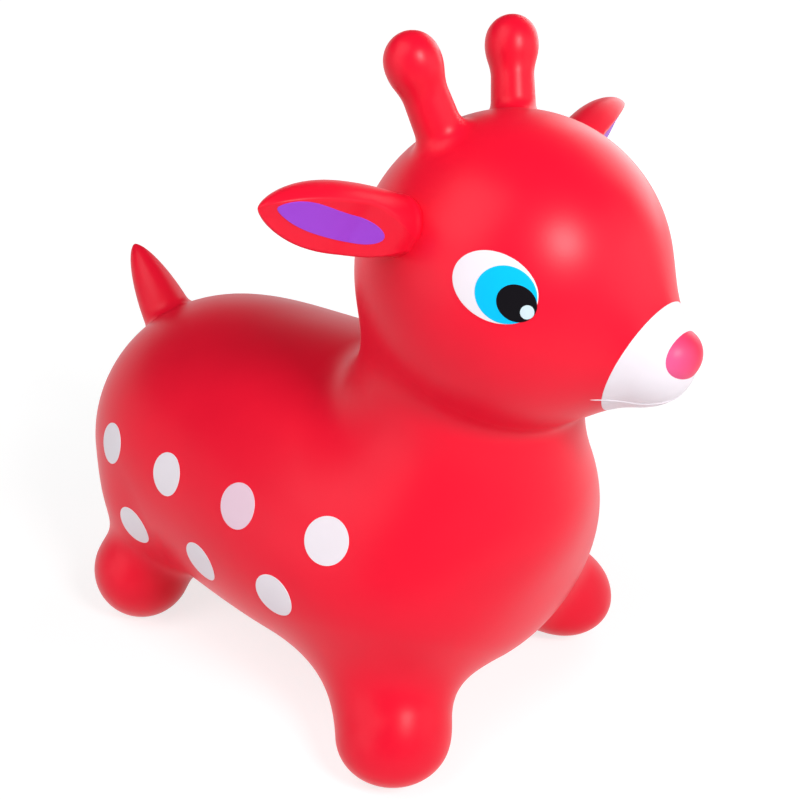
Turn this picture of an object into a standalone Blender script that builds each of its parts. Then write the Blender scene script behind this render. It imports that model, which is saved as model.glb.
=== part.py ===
# Bouncy ride-on deer: an air-filled soft plastic hopper animal, modelled as its separate flexing zones
# Frame: metres, +X to the nose, +Y to the animal's left, +Z up, floor at z = 0
import math

import bmesh
import bpy
from mathutils import Vector

# Driving sizes: skin
SKIN_WALL = 0.0025
SEAM_GAP = 0.0003
PAINT_THICK = 0.0003

# Driving sizes: trunk, a long egg with rounded ends
TRUNK_MID_X = -0.100
TRUNK_REAR_LENGTH = 0.165
TRUNK_FRONT_LENGTH = 0.298
TRUNK_ROUNDNESS = 3.0
TRUNK_HALF_WIDTH_REAR = 0.131
TRUNK_HALF_WIDTH_FRONT = 0.1785
TRUNK_HALF_HEIGHT_REAR = 0.1255
TRUNK_HALF_HEIGHT_FRONT = 0.132
TRUNK_AXIS_Z_REAR = 0.1555
TRUNK_AXIS_Z_FRONT = 0.1465

# Driving sizes: neck, a cone from inside the trunk to inside the head, with fillets to both
NECK_BASE_X = 0.109
NECK_BASE_Z = 0.200
NECK_BASE_RADIUS = 0.0985
NECK_TOP_BACK = 0.027
NECK_TOP_RADIUS = 0.0692
NECK_FILLET = 0.036
CHIN_FILLET = 0.010
CHIN_X = 0.200
NAPE_FILLET = 0.0205
NAPE_X = 0.080
NECK_TILT_DEG = 24.0
NECK_EDGE_RISE = 0.0016
NECK_EDGE_DIVE = 0.0050
NECK_BORE_RADIUS = 0.0665
NECK_WAIST_Z = 0.272

# Driving sizes: head, a ball with a short snout
HEAD_X = 0.1505
HEAD_Z = 0.374
HEAD_RADIUS = 0.111
HEAD_WIDTH_RATIO = 0.95
SNOUT_LENGTH = 0.114
SNOUT_DROP_DEG = 16.5
SNOUT_BASE_RADIUS = 0.0555
SNOUT_TIP_RADIUS = 0.0322
SNOUT_BASE_AT = 0.030
SNOUT_BLEND = 0.030
MUZZLE_ANGLE_DEG = 21.0
NOSE_HALF_WIDTH = 0.0208
NOSE_HALF_DEPTH = 0.0183
NOSE_RISE_DEG = 3.85
NOSE_SINK = 0.0157

# Driving sizes: eyes, given as angles on the head ball, half sizes and shifts along and across the eye
EYE_YAW_DEG = 61.6
EYE_PITCH_DEG = 13.9
EYE_TILT_DEG = 16.3
EYE_HALF_SIZE = (0.0285, 0.0209)
IRIS_HALF_SIZE = (0.0197, 0.0176)
IRIS_SHIFT = (0.0081, -0.0009)
PUPIL_HALF_SIZE = (0.0130, 0.0111)
PUPIL_SHIFT = (0.0163, -0.0023)
GLINT_HALF_SIZE = (0.0044, 0.0044)
GLINT_SHIFT = (0.0247, -0.0042)

# Driving sizes: antlers, whose feet are given from the head's middle as shares of its radius
ANTLER_FOOT_RATIO = (-0.1982, 0.2820, 0.5946)
ANTLER_SPAN = (-0.0218, 0.0218, 0.0782)
ANTLER_FOOT_RADIUS = 0.0171
ANTLER_STALK_RADIUS = 0.0146
ANTLER_BALL_RADIUS = 0.0184
ANTLER_ROOT_START = 0.012
ANTLER_ROOT_MID = 0.034
ANTLER_ROOT_END = 0.052
ANTLER_ROOT_FLARE = 0.0025
ANTLER_HINGE_BELOW = 0.006

# Driving sizes: ears, whose roots are given from the head's middle as shares of its radius
EAR_ROOT_RATIO = (-0.2027, 0.7928, 0.4505)
EAR_SPAN = (-0.0134, 0.1110, 0.0340)
EAR_FACING = (0.883, 0.0, -0.469)
EAR_HALF_WIDTH = 0.0222
EAR_STEM_LENGTH = 0.022
EAR_STEM_DEPTH = 0.025
EAR_HINGE_BELOW = 0.006
EAR_ROOT_THIN_RATIO = 0.17
EAR_FULL_RATIO = 0.40
EAR_END_RATIO = 0.97
EAR_STEM_RIM_RATIO = 0.92
EAR_RIM_RATIO = 0.45
EAR_DISH_RATIO = 0.25
EAR_ROUND_RATIO = 0.08
LINING_LIFT = 0.0008

# Driving sizes: tail, a horn whose radius falls as (1 - s^taper)^(1 / round) along it
TAIL_SETBACK = 0.0255
TAIL_ROOT_Z = 0.2318
TAIL_LEAN_DEG = 33.9
TAIL_LENGTH = 0.0906
TAIL_ROOT_RADIUS = 0.0245
TAIL_TAPER = 1.72
TAIL_ROUND = 1.64
TAIL_SPLIT_AT = 0.028
TAIL_ROOT_DEPTH = 0.010

# Driving sizes: legs and feet, set back from the trunk's two ends
FRONT_FOOT_SETBACK = 0.0603
FRONT_FOOT_Y = 0.1160
REAR_FOOT_SETBACK = 0.0850
REAR_FOOT_Y = 0.1100
FOOT_RADIUS = 0.0434
FOOT_SOLE_CUT = 0.004
FOOT_RIM_Z = 0.034
LEG_TOP_Z = 0.115
LEG_LEAN_X = 0.0358
LEG_LEAN_Y = 0.0248
LEG_TAPER = 0.045

# Driving sizes: painted spots and air valve
SPOT_RADIUS = 0.0178
UPPER_SPOT_X = (-0.166, -0.078, 0.0105, 0.095)
UPPER_SPOT_DEG = (15.3, 18.4, 22.4, 25.5)
LOWER_SPOT_X = (-0.132, -0.0315, 0.0565)
LOWER_SPOT_DEG = (-13.8, -7.7, -2.4)
VALVE_X = -0.040
VALVE_BORE = 0.0048
VALVE_SPIGOT = 0.0075
VALVE_FLANGE = 0.0120
VALVE_DROP = 0.0010
VALVE_FLANGE_THICK = 0.003
VALVE_PLUG_HEAD = 0.010

# Colours of the skin and the paints
RED = (0.85, 0.012, 0.035)
WHITE = (0.90, 0.86, 0.90)
CYAN = (0.003, 0.66, 0.95)
BLACK = (0.012, 0.009, 0.011)
PINK = (0.93, 0.12, 0.33)
PURPLE = (0.38, 0.07, 0.71)

for old in list(bpy.data.objects):
    bpy.data.objects.remove(old, do_unlink=True)


# Helpers: meshes from rings, materials and cuts
def join_rings(bm, first, second):
    """Join two rings of vertices; a ring of one vertex is a pole."""
    count = max(len(first), len(second))
    for i in range(count):
        j = (i + 1) % count
        if len(first) == 1:
            bm.faces.new((first[0], second[j], second[i]))
        elif len(second) == 1:
            bm.faces.new((first[i], first[j], second[0]))
        else:
            bm.faces.new((first[i], first[j], second[j], second[i]))


def ring_object(name, rings, colour=None, pivot=None, loop=False):
    """A closed object from a list of rings; loop joins the last ring to the first."""
    bm = bmesh.new()
    rows = []
    for ring in rings:
        rows.append([bm.verts.new(p) for p in ring])
    for first, second in zip(rows[:-1], rows[1:]):
        join_rings(bm, first, second)
    if loop:
        join_rings(bm, rows[-1], rows[0])
    bmesh.ops.recalc_face_normals(bm, faces=bm.faces[:])
    centre = Vector(pivot) if pivot else Vector((0.0, 0.0, 0.0))
    bmesh.ops.translate(bm, verts=bm.verts[:], vec=-centre)
    mesh = bpy.data.meshes.new(name)
    bm.to_mesh(mesh)
    bm.free()
    obj = bpy.data.objects.new(name, mesh)
    obj.location = centre
    bpy.context.scene.collection.objects.link(obj)
    if colour is None:
        obj.hide_render = True
        obj.display_type = "WIRE"
    else:
        mat = bpy.data.materials.new("mat_" + name)
        mat.use_nodes = True
        shader = mat.node_tree.nodes["Principled BSDF"]
        shader.inputs["Base Color"].default_value = (colour[0], colour[1], colour[2], 1.0)
        shader.inputs["Roughness"].default_value = 0.38
        mesh.materials.append(mat)
    return obj


def cut(obj, cutter):
    """Take the cutter's volume out of the object."""
    mod = obj.modifiers.new("cut_" + cutter.name, "BOOLEAN")
    mod.operation = "DIFFERENCE"
    mod.solver = "EXACT"
    mod.object = cutter
    return mod


def smooth_union(a, b, k):
    """The smaller of two distances with the crease between them filled over the width k."""
    h = max(k - abs(a - b), 0.0) / k
    return min(a, b) - h * h * k / 4.0


def round_cone(along, across, length, start, end):
    """Distance to a tight skin over two balls on an axis; start and end are their radii."""
    lean = (start - end) / length
    slope = math.sqrt(1.0 - lean * lean)
    k = along * slope - across * lean
    if k < 0.0:
        return math.hypot(across, along) - start
    if k > slope * length:
        return math.hypot(across, along - length) - end
    return across * slope + along * lean - start


def frame_of(direction, hint):
    """Two unit vectors across a direction, the first one nearest to the hint."""
    d = Vector(direction).normalized()
    first = (Vector(hint) - d * Vector(hint).dot(d)).normalized()
    return d, first, d.cross(first)


def circle(centre, first, second, radius, count):
    """A ring of points round a centre."""
    out = []
    for i in range(count):
        a = 2.0 * math.pi * i / count
        out.append(centre + first * (radius * math.cos(a)) + second * (radius * math.sin(a)))
    return out


def axis_rings(start, direction, hint, stations, count):
    """Rings along an axis; each station is (distance, radius), radius 0 is a pole."""
    d, first, second = frame_of(direction, hint)
    rings = []
    for along, radius in stations:
        centre = Vector(start) + d * along
        if radius <= 0.0:
            rings.append([centre])
        else:
            rings.append(circle(centre, first, second, radius, count))
    return rings


# Trunk form
def trunk_section(x):
    """Half width, half height and axis height of the trunk at x, before its ends round off."""
    mix = (x - TRUNK_MID_X + TRUNK_REAR_LENGTH) / (TRUNK_REAR_LENGTH + TRUNK_FRONT_LENGTH)
    mix = min(max(mix, 0.0), 1.0)
    w = TRUNK_HALF_WIDTH_REAR + (TRUNK_HALF_WIDTH_FRONT - TRUNK_HALF_WIDTH_REAR) * mix
    h = TRUNK_HALF_HEIGHT_REAR + (TRUNK_HALF_HEIGHT_FRONT - TRUNK_HALF_HEIGHT_REAR) * mix
    z = TRUNK_AXIS_Z_REAR + (TRUNK_AXIS_Z_FRONT - TRUNK_AXIS_Z_REAR) * mix
    return w, h, z


def trunk_sizes(x, grow=0.0):
    """Half width, half height and axis height of the trunk at x, grown by a clearance."""
    rear = TRUNK_REAR_LENGTH + grow
    front = TRUNK_FRONT_LENGTH + grow
    t = (x - TRUNK_MID_X) / (rear if x < TRUNK_MID_X else front)
    full = max(1.0 - min(abs(t), 1.0) ** TRUNK_ROUNDNESS, 0.0) ** (1.0 / TRUNK_ROUNDNESS)
    w, h, z = trunk_section(x)
    return (w + grow) * full, (h + grow) * full, z


def trunk_distance(p):
    """Distance from a point to the trunk's skin, true close to it."""
    n = TRUNK_ROUNDNESS
    reach = TRUNK_REAR_LENGTH if p.x < TRUNK_MID_X else TRUNK_FRONT_LENGTH
    w, h, c = trunk_section(p.x)
    y = p.y / w
    z = (p.z - c) / h
    rho = max(math.hypot(y, z), 1e-6)
    t = max(abs(p.x - TRUNK_MID_X) / reach, 1e-6)
    total = rho ** n + t ** n
    round_way = rho ** (2.0 * n - 4.0) * ((y / w) ** 2 + (z / h) ** 2)
    long_way = (t ** (n - 1.0) / reach) ** 2
    steep = total ** (1.0 / n - 1.0) * math.sqrt(round_way + long_way)
    return (total ** (1.0 / n) - 1.0) / max(steep, 1e-6)


def trunk_point(x, angle, grow=0.0):
    """A point of the trunk's skin; angle 0 is the right side and turns up over the back."""
    w, h, z = trunk_sizes(x, grow)
    return Vector((x, -w * math.cos(angle), z + h * math.sin(angle)))


def trunk_normal(x, angle):
    """The outward direction of the trunk's skin at a point."""
    e = 0.0005
    along = trunk_point(x + e, angle) - trunk_point(x - e, angle)
    around = trunk_point(x, angle + e) - trunk_point(x, angle - e)
    n = along.cross(around)
    out = trunk_point(x, angle) - Vector((x, 0.0, trunk_sizes(x)[2]))
    return n.normalized() if n.dot(out) > 0.0 else -n.normalized()


def trunk_rings(grow, count, steps):
    """Rings of the trunk from the rump pole to the chest pole."""
    rings = []
    for i in range(steps + 1):
        s = math.sin(math.pi * (i / steps - 0.5))
        reach = (TRUNK_REAR_LENGTH if s < 0.0 else TRUNK_FRONT_LENGTH) + grow
        x = TRUNK_MID_X + reach * s
        if i in (0, steps):
            rings.append([Vector((x, 0.0, trunk_sizes(x, grow)[2]))])
        else:
            rings.append([trunk_point(x, 2.0 * math.pi * j / count, grow) for j in range(count)])
    return rings


# Head form, a surface of revolution about the snout's axis and a little narrower than high
SNOUT_DROP = math.radians(SNOUT_DROP_DEG)
HEAD_CENTRE = Vector((HEAD_X, 0.0, HEAD_Z))
HEAD_AXIS = Vector((math.cos(SNOUT_DROP), 0.0, -math.sin(SNOUT_DROP)))
HEAD_UP = Vector((math.sin(SNOUT_DROP), 0.0, math.cos(SNOUT_DROP)))


def head_field(along, across):
    """Distance to the head's skin for a point given along and across the snout's axis."""
    ball = math.hypot(along, across) - HEAD_RADIUS
    length = SNOUT_LENGTH - SNOUT_BASE_AT
    snout = round_cone(along - SNOUT_BASE_AT, across, length, SNOUT_BASE_RADIUS, SNOUT_TIP_RADIUS)
    return smooth_union(ball, snout, SNOUT_BLEND)


def head_distance(p):
    """Distance from a point to the head's skin."""
    d = p - HEAD_CENTRE
    d.y /= HEAD_WIDTH_RATIO
    along = d.dot(HEAD_AXIS)
    return head_field(along, (d - HEAD_AXIS * along).length)


def head_reach(angle, offset):
    """How far the skin, moved out by an offset, lies from the head's centre in a direction."""
    low = 0.3 * HEAD_RADIUS
    high = 3.0 * HEAD_RADIUS
    for _ in range(44):
        mid = 0.5 * (low + high)
        if head_field(mid * math.cos(angle), mid * math.sin(angle)) < offset:
            low = mid
        else:
            high = mid
    return low


def head_point(direction, offset):
    """A point of the head's skin in a direction, moved out by an offset."""
    d = direction.normalized()
    angle = math.acos(max(-1.0, min(1.0, d.dot(HEAD_AXIS))))
    p = d * head_reach(angle, offset)
    return HEAD_CENTRE + Vector((p.x, p.y * HEAD_WIDTH_RATIO, p.z))


def head_dir(angle, turn):
    """The direction at an angle from the snout's axis, turned round it."""
    side = HEAD_UP * math.cos(turn) + Vector((0.0, math.sin(turn), 0.0))
    return HEAD_AXIS * math.cos(angle) + side * math.sin(angle)


def head_rings(angles, offset, count):
    """Rings of the head's skin at the given angles from the snout's axis, in degrees."""
    rings = []
    for deg in angles:
        a = math.radians(deg)
        if deg in (0.0, 180.0):
            rings.append([head_point(head_dir(a, 0.0), offset)])
        else:
            rings.append([head_point(head_dir(a, 2.0 * math.pi * j / count), offset) for j in range(count)])
    return rings


HEAD_ANGLES = (0.0, 5.0, 9.0, 13.0, 17.0, 21.0, 26.0, 32.0, 40.0, 50.0, 62.0, 76.0, 90.0, 105.0, 120.0, 135.0,
               150.0, 165.0, 180.0)

# Guides: solids that cut the pieces to their neighbours
trunk_guide = ring_object("guide_trunk", trunk_rings(SEAM_GAP, 28, 18))
head_guide = ring_object("guide_head", head_rings(HEAD_ANGLES, SEAM_GAP, 28))
trunk_cavity = ring_object("guide_trunk_cavity", trunk_rings(-SKIN_WALL, 20, 14))
head_cavity = ring_object("guide_head_cavity", head_rings(HEAD_ANGLES[::2], -SKIN_WALL, 20))

# Trunk shell
trunk_shell = ring_object("trunk_shell", trunk_rings(0.0, 28, 18), RED)
cut(trunk_shell, trunk_cavity)

# Head shell, turning on the neck
NECK_FOOT = Vector((NECK_BASE_X, 0.0, NECK_BASE_Z))
NECK_TOP = Vector((HEAD_X - NECK_TOP_BACK, 0.0, HEAD_Z))
NECK_LENGTH = (NECK_TOP - NECK_FOOT).length
NECK_AXIS = (NECK_TOP - NECK_FOOT).normalized()
NECK_WAIST = (NECK_WAIST_Z - NECK_BASE_Z) / (HEAD_Z - NECK_BASE_Z)
NECK_PIVOT = NECK_FOOT.lerp(HEAD_CENTRE, NECK_WAIST)
head_shell = ring_object("head_shell", head_rings(HEAD_ANGLES, 0.0, 28), RED, NECK_PIVOT)
cut(head_shell, head_cavity)

# Bore through the neck, which opens the trunk to the head
bore_ends = (0.12 * NECK_LENGTH, 0.74 * NECK_LENGTH)
neck_stations = ((bore_ends[0], 0.0), (bore_ends[0], NECK_BORE_RADIUS), (bore_ends[1], NECK_BORE_RADIUS),
                 (bore_ends[1], 0.0))
neck_bore = ring_object("guide_neck_bore", axis_rings(NECK_FOOT, NECK_AXIS, (1, 0, 0), neck_stations, 24))
cut(trunk_shell, neck_bore)
cut(head_shell, neck_bore)

# Neck band: the skin between trunk and head, in rings whose planes dip to the chest
NECK_TILT = math.radians(NECK_TILT_DEG)
NECK_FORE = Vector((math.cos(NECK_TILT), 0.0, -math.sin(NECK_TILT)))
NECK_REACH = NECK_BASE_RADIUS + 2.0 * NECK_FILLET
NECK_LEVELS = (-0.75 * NECK_BASE_RADIUS, 1.2 * NECK_LENGTH)


def body_distance(p):
    """Distance to the skin of trunk, neck and head, joined by their fillets."""
    f = min(max((p.x - NAPE_X) / (CHIN_X - NAPE_X), 0.0), 1.0)
    fillet = NAPE_FILLET + (CHIN_FILLET - NAPE_FILLET) * f * f * (3.0 - 2.0 * f)
    v = p - NECK_FOOT
    along = v.dot(NECK_AXIS)
    neck = round_cone(along, (v - NECK_AXIS * along).length, NECK_LENGTH, NECK_BASE_RADIUS, NECK_TOP_RADIUS)
    shoulder = smooth_union(trunk_distance(p), neck, NECK_FILLET)
    return smooth_union(shoulder, head_distance(p), fillet)


def neck_point(level, turn, inset):
    """A point of the skin, out from the neck's middle at a level, moved in by an inset."""
    centre = NECK_FOOT + NECK_AXIS * level
    way = NECK_FORE * math.cos(turn) + Vector((0.0, math.sin(turn), 0.0))
    low = 0.0
    high = NECK_REACH
    for _ in range(32):
        mid = 0.5 * (low + high)
        if body_distance(centre + way * mid) < 0.0:
            low = mid
        else:
            high = mid
    return centre + way * (low - inset)


def neck_stands_clear(level, turn):
    """Whether the fillet at a level still stands clear of the trunk's and the head's own skin."""
    p = neck_point(level, turn, 0.0)
    return min(trunk_distance(p), head_distance(p)) > NECK_EDGE_RISE


def neck_edge(turn, end):
    """The level where the band ends on the trunk or on the head, found by halving."""
    inside = NECK_WAIST * NECK_LENGTH
    outside = end
    for _ in range(14):
        mid = 0.5 * (inside + outside)
        if neck_stands_clear(mid, turn):
            inside = mid
        else:
            outside = mid
    return inside


NECK_COUNT = 36
NECK_STEPS = 8
neck_turns = [2.0 * math.pi * i / NECK_COUNT for i in range(NECK_COUNT)]
neck_edges = [(neck_edge(turn, NECK_LEVELS[0]), neck_edge(turn, NECK_LEVELS[1])) for turn in neck_turns]


def neck_ring(part, inset):
    """One ring of the band, at a part of the way from its low edge to its high edge."""
    ring = []
    for turn, (low, high) in zip(neck_turns, neck_edges):
        ring.append(neck_point(low + (high - low) * part, turn, inset))
    return ring


neck_parts = [(-0.02, NECK_EDGE_DIVE)] + [(i / NECK_STEPS, 0.0) for i in range(NECK_STEPS + 1)]
neck_parts.append((1.02, NECK_EDGE_DIVE))
neck_rings = [neck_ring(part, inset) for part, inset in neck_parts]
neck_rings += [neck_ring(part, inset + SKIN_WALL) for part, inset in reversed(neck_parts)]
neck_band = ring_object("neck_band", neck_rings, RED, None, True)
cut(neck_band, trunk_guide)
cut(neck_band, head_guide)

# Muzzle paint: a thin cap over the snout's end
muzzle_angles = [a for a in HEAD_ANGLES if a < MUZZLE_ANGLE_DEG - 0.4] + [MUZZLE_ANGLE_DEG]
muzzle_rings = head_rings(muzzle_angles, SEAM_GAP + PAINT_THICK, 28)
muzzle_rings += head_rings(muzzle_angles[::-1], SEAM_GAP, 28)
muzzle_coat = ring_object("muzzle_coat", muzzle_rings, WHITE, NECK_PIVOT)

# Nose: a flattened ball bedded in the snout's end, cut to sit on the muzzle paint
nose_dir = head_dir(math.radians(NOSE_RISE_DEG), 0.0)
nose_centre = head_point(nose_dir, 0.0) - nose_dir * NOSE_SINK
nose_stations = []
for i in range(13):
    a = math.pi * i / 12.0
    nose_stations.append((-NOSE_HALF_DEPTH * math.cos(a), NOSE_HALF_WIDTH * math.sin(a) if 0 < i < 12 else 0.0))
nose = ring_object("nose", axis_rings(nose_centre, nose_dir, (0, 0, 1), nose_stations, 20), PINK, NECK_PIVOT)
muzzle_guide = ring_object("guide_muzzle", head_rings(HEAD_ANGLES, 2.0 * SEAM_GAP + PAINT_THICK, 28))
cut(nose, muzzle_guide)


# Paint patches: a disc of rings laid on a skin
def disc_rings(place, low, high, count, steps):
    """Rings of a thin disc; place(u, v, offset) gives the skin point for a spot inside the unit circle."""
    rings = [[place(0.0, 0.0, high)]]
    for level, order in ((high, range(1, steps + 1)), (low, range(steps, 0, -1))):
        for k in order:
            q = k / steps
            ring = []
            for i in range(count):
                a = 2.0 * math.pi * i / count
                ring.append(place(q * math.cos(a), q * math.sin(a), level))
            rings.append(ring)
    rings.append([place(0.0, 0.0, low)])
    return rings


# Eyes: four thin layers each side
EYE_YAW = math.radians(EYE_YAW_DEG)
EYE_PITCH = math.radians(EYE_PITCH_DEG)
EYE_TILT = math.radians(EYE_TILT_DEG)


def eye_place(side, shift, half):
    """A patch on the head ball; shift moves it along the eye's tilted length and height."""
    out = Vector((math.cos(EYE_PITCH) * math.cos(EYE_YAW), side * math.cos(EYE_PITCH) * math.sin(EYE_YAW),
                  math.sin(EYE_PITCH)))
    d, fore, other = frame_of(out, (1, 0, 0))
    up = other if other.z > 0.0 else -other
    long_way = fore * math.cos(EYE_TILT) - up * math.sin(EYE_TILT)
    high_way = fore * math.sin(EYE_TILT) + up * math.cos(EYE_TILT)

    def place(u, v, offset):
        a = (shift[0] + half[0] * u) / HEAD_RADIUS
        b = (shift[1] + half[1] * v) / HEAD_RADIUS
        return head_point(d + long_way * a + high_way * b, offset)
    return place


LAYER = SEAM_GAP + PAINT_THICK
for side, tag in ((-1, "right"), (1, "left")):
    layers = (("eye_white_", (0.0, 0.0), EYE_HALF_SIZE, WHITE, 18),
              ("eye_iris_", IRIS_SHIFT, IRIS_HALF_SIZE, CYAN, 16),
              ("eye_pupil_", PUPIL_SHIFT, PUPIL_HALF_SIZE, BLACK, 14),
              ("eye_glint_", GLINT_SHIFT, GLINT_HALF_SIZE, WHITE, 10))
    for level, (name, shift, half, colour, count) in enumerate(layers):
        low = SEAM_GAP + LAYER * level
        rings = disc_rings(eye_place(side, shift, half), low, low + PAINT_THICK, count, 2)
        ring_object(name + tag, rings, colour, NECK_PIVOT)


# Antlers: a hollow stalk with a ball end on a short bending root
def mirrored(place, side):
    """A place given for the left side, put on the asked side."""
    return Vector((place[0], side * place[1], place[2]))


def antler_radius(along, length):
    """The radius of the tapering stalk, or of the ball where that is larger."""
    off = along - length
    ball = math.sqrt(max(ANTLER_BALL_RADIUS ** 2 - off * off, 0.0))
    if off >= 0.0:
        return ball
    return max(ANTLER_FOOT_RADIUS + (ANTLER_STALK_RADIUS - ANTLER_FOOT_RADIUS) * along / length, ball)


for side, tag in ((-1, "right"), (1, "left")):
    foot = HEAD_CENTRE + mirrored(ANTLER_FOOT_RATIO, side) * HEAD_RADIUS
    ball = foot + mirrored(ANTLER_SPAN, side)
    length = (ball - foot).length
    way = (ball - foot).normalized()
    pivot = foot + way * (ANTLER_ROOT_END - ANTLER_HINGE_BELOW)
    start = ANTLER_ROOT_END + SEAM_GAP
    levels = [start, length - ANTLER_BALL_RADIUS * 0.72]
    levels += [length + ANTLER_BALL_RADIUS * f for f in (-0.4, 0.0, 0.4, 0.72, 0.92)]
    outer = [(a, antler_radius(a, length)) for a in levels]
    outer.append((length + ANTLER_BALL_RADIUS, 0.0))
    inner_levels = [start, length - ANTLER_BALL_RADIUS * 0.72, length, length + ANTLER_BALL_RADIUS * 0.6]
    inner = [(a, antler_radius(a, length) - SKIN_WALL) for a in inner_levels]
    inner.append((length + ANTLER_BALL_RADIUS - 1.6 * SKIN_WALL, 0.0))
    rings = axis_rings(foot, way, (1, 0, 0), list(reversed(outer)) + inner, 16)
    ring_object("antler_" + tag, rings, RED, pivot)
    root_outer = [(ANTLER_ROOT_START, antler_radius(ANTLER_ROOT_START, length) + 2.0 * ANTLER_ROOT_FLARE),
                  (ANTLER_ROOT_MID, antler_radius(ANTLER_ROOT_MID, length) + ANTLER_ROOT_FLARE),
                  (ANTLER_ROOT_END, antler_radius(ANTLER_ROOT_END, length))]
    root_inner = [(a, r - SKIN_WALL) for a, r in reversed(root_outer)]
    rings = axis_rings(foot, way, (1, 0, 0), root_outer + root_inner, 16)
    root = ring_object("antler_root_" + tag, rings, RED, pivot, True)
    cut(root, head_guide)
    bore_radius = ANTLER_STALK_RADIUS - 2.0 * SKIN_WALL
    bore_start = ANTLER_ROOT_START - ANTLER_FOOT_RADIUS
    stations = ((bore_start, 0.0), (bore_start, bore_radius), (ANTLER_ROOT_END, bore_radius), (ANTLER_ROOT_END, 0.0))
    bore = ring_object("guide_antler_bore_" + tag, axis_rings(foot, way, (1, 0, 0), stations, 12))
    cut(head_shell, bore)

# Ears: a leaf with a rounded back and a dished face, on a short bending stem
def ear_radius(s):
    """The ear's radius at a share of its length: a thick root, fullest part way out, then a blunt point."""
    root = 1.0 - EAR_ROOT_THIN_RATIO * max((EAR_FULL_RATIO - s) / EAR_FULL_RATIO, 0.0) ** 2
    far = min(max((s - EAR_FULL_RATIO) / (EAR_END_RATIO - EAR_FULL_RATIO), 0.0), 1.0)
    return EAR_HALF_WIDTH * root * (1.0 - far ** 2.4) ** 0.75


def ear_face(s, start):
    """Height of the face's rim and depth of its dish, as shares of the radius; round where the leaf starts."""
    f = min(max((s - start) / EAR_ROUND_RATIO, 0.0), 1.0)
    return min(EAR_STEM_RIM_RATIO + (EAR_RIM_RATIO - EAR_STEM_RIM_RATIO) * f, 0.97), EAR_DISH_RATIO * f


def ear_outline(rim, dish):
    """Across and out, as shares of the radius: an arc round the back, then the dished face."""
    start = math.asin(rim)
    half = math.cos(start)
    outline = []
    for j in range(13):
        a = start - (math.pi + 2.0 * start) * j / 12.0
        outline.append((math.cos(a), math.sin(a)))
    for j in range(1, 6):
        a = half * (j / 3.0 - 1.0)
        outline.append((a, rim - dish * (1.0 - (a / half) ** 2)))
    return outline


for side, tag in ((-1, "right"), (1, "left")):
    root = HEAD_CENTRE + mirrored(EAR_ROOT_RATIO, side) * HEAD_RADIUS
    way, face, _ = frame_of(mirrored(EAR_SPAN, side), EAR_FACING)
    wide = way.cross(face)
    span = mirrored(EAR_SPAN, side).length
    start = (EAR_STEM_LENGTH + SEAM_GAP) / span
    pivot = root + way * (EAR_STEM_LENGTH - EAR_HINGE_BELOW)
    rings = [[root + way * (span * start)]]
    for part in (0.0, 0.1, 0.2, 0.3, 0.4, 0.5, 0.6, 0.7, 0.8, 0.9, 0.97):
        s = start + (EAR_END_RATIO - start) * part
        r = ear_radius(s)
        ring = []
        for across, out in ear_outline(*ear_face(s, start)):
            ring.append(root + way * (span * s) + wide * (r * across) + face * (r * out))
        rings.append(ring)
    rings.append([root + way * (span * EAR_END_RATIO)])
    ring_object("ear_" + tag, rings, RED, pivot)

    def lining(u, v, offset, root=root, way=way, wide=wide, face=face, span=span, start=start):
        s = start + (EAR_END_RATIO - start) * (0.50 + 0.36 * u)
        r = ear_radius(s)
        rim, dish = ear_face(s, start)
        m = 0.66 * v * math.sqrt(max(1.0 - 0.30 * u * u, 0.0))
        n = r * (rim - dish * (1.0 - m * m)) + offset
        return root + way * (span * s) + wide * (r * m * math.sqrt(1.0 - rim * rim)) + face * n

    rings = disc_rings(lining, LINING_LIFT, LINING_LIFT + PAINT_THICK, 16, 3)
    ring_object("ear_lining_" + tag, rings, PURPLE, pivot)
    stem_levels = (-EAR_STEM_DEPTH, 0.0, 0.5 * EAR_STEM_LENGTH, EAR_STEM_LENGTH)
    stem_outer = [(a, ear_radius(a / span)) for a in stem_levels]
    stem_inner = [(a, ear_radius(a / span) - SKIN_WALL) for a in reversed(stem_levels)]
    rings = axis_rings(root, way, face, stem_outer + stem_inner, 16)
    stem = ring_object("ear_root_" + tag, rings, RED, pivot, True)
    cut(stem, head_guide)
    bore_radius = ear_radius(0.0) - 3.0 * SKIN_WALL
    bore_start = -1.2 * EAR_STEM_DEPTH
    stations = ((bore_start, 0.0), (bore_start, bore_radius), (EAR_STEM_LENGTH, bore_radius), (EAR_STEM_LENGTH, 0.0))
    bore = ring_object("guide_ear_bore_" + tag, axis_rings(root, way, face, stations, 12))
    cut(head_shell, bore)

# Tail: a hollow tapered stub on a short bending root
TAIL_LEAN = math.radians(TAIL_LEAN_DEG)
TAIL_WAY = Vector((-math.sin(TAIL_LEAN), 0.0, math.cos(TAIL_LEAN)))
TAIL_FOOT = Vector((TRUNK_MID_X - TRUNK_REAR_LENGTH + TAIL_SETBACK, 0.0, TAIL_ROOT_Z))


def tail_radius(along):
    """The tail's radius, full at its root and falling ever faster to its tip."""
    s = min(max(along / TAIL_LENGTH, 0.0), 1.0)
    return TAIL_ROOT_RADIUS * (1.0 - s ** TAIL_TAPER) ** (1.0 / TAIL_ROUND)


def tail_profile(parts, start, inset):
    """Stations at parts of the way from a start to the tail's tip, moved in by an inset."""
    levels = [start + (TAIL_LENGTH - start) * part for part in parts]
    return [(a, tail_radius(a) - inset) for a in levels]


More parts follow.
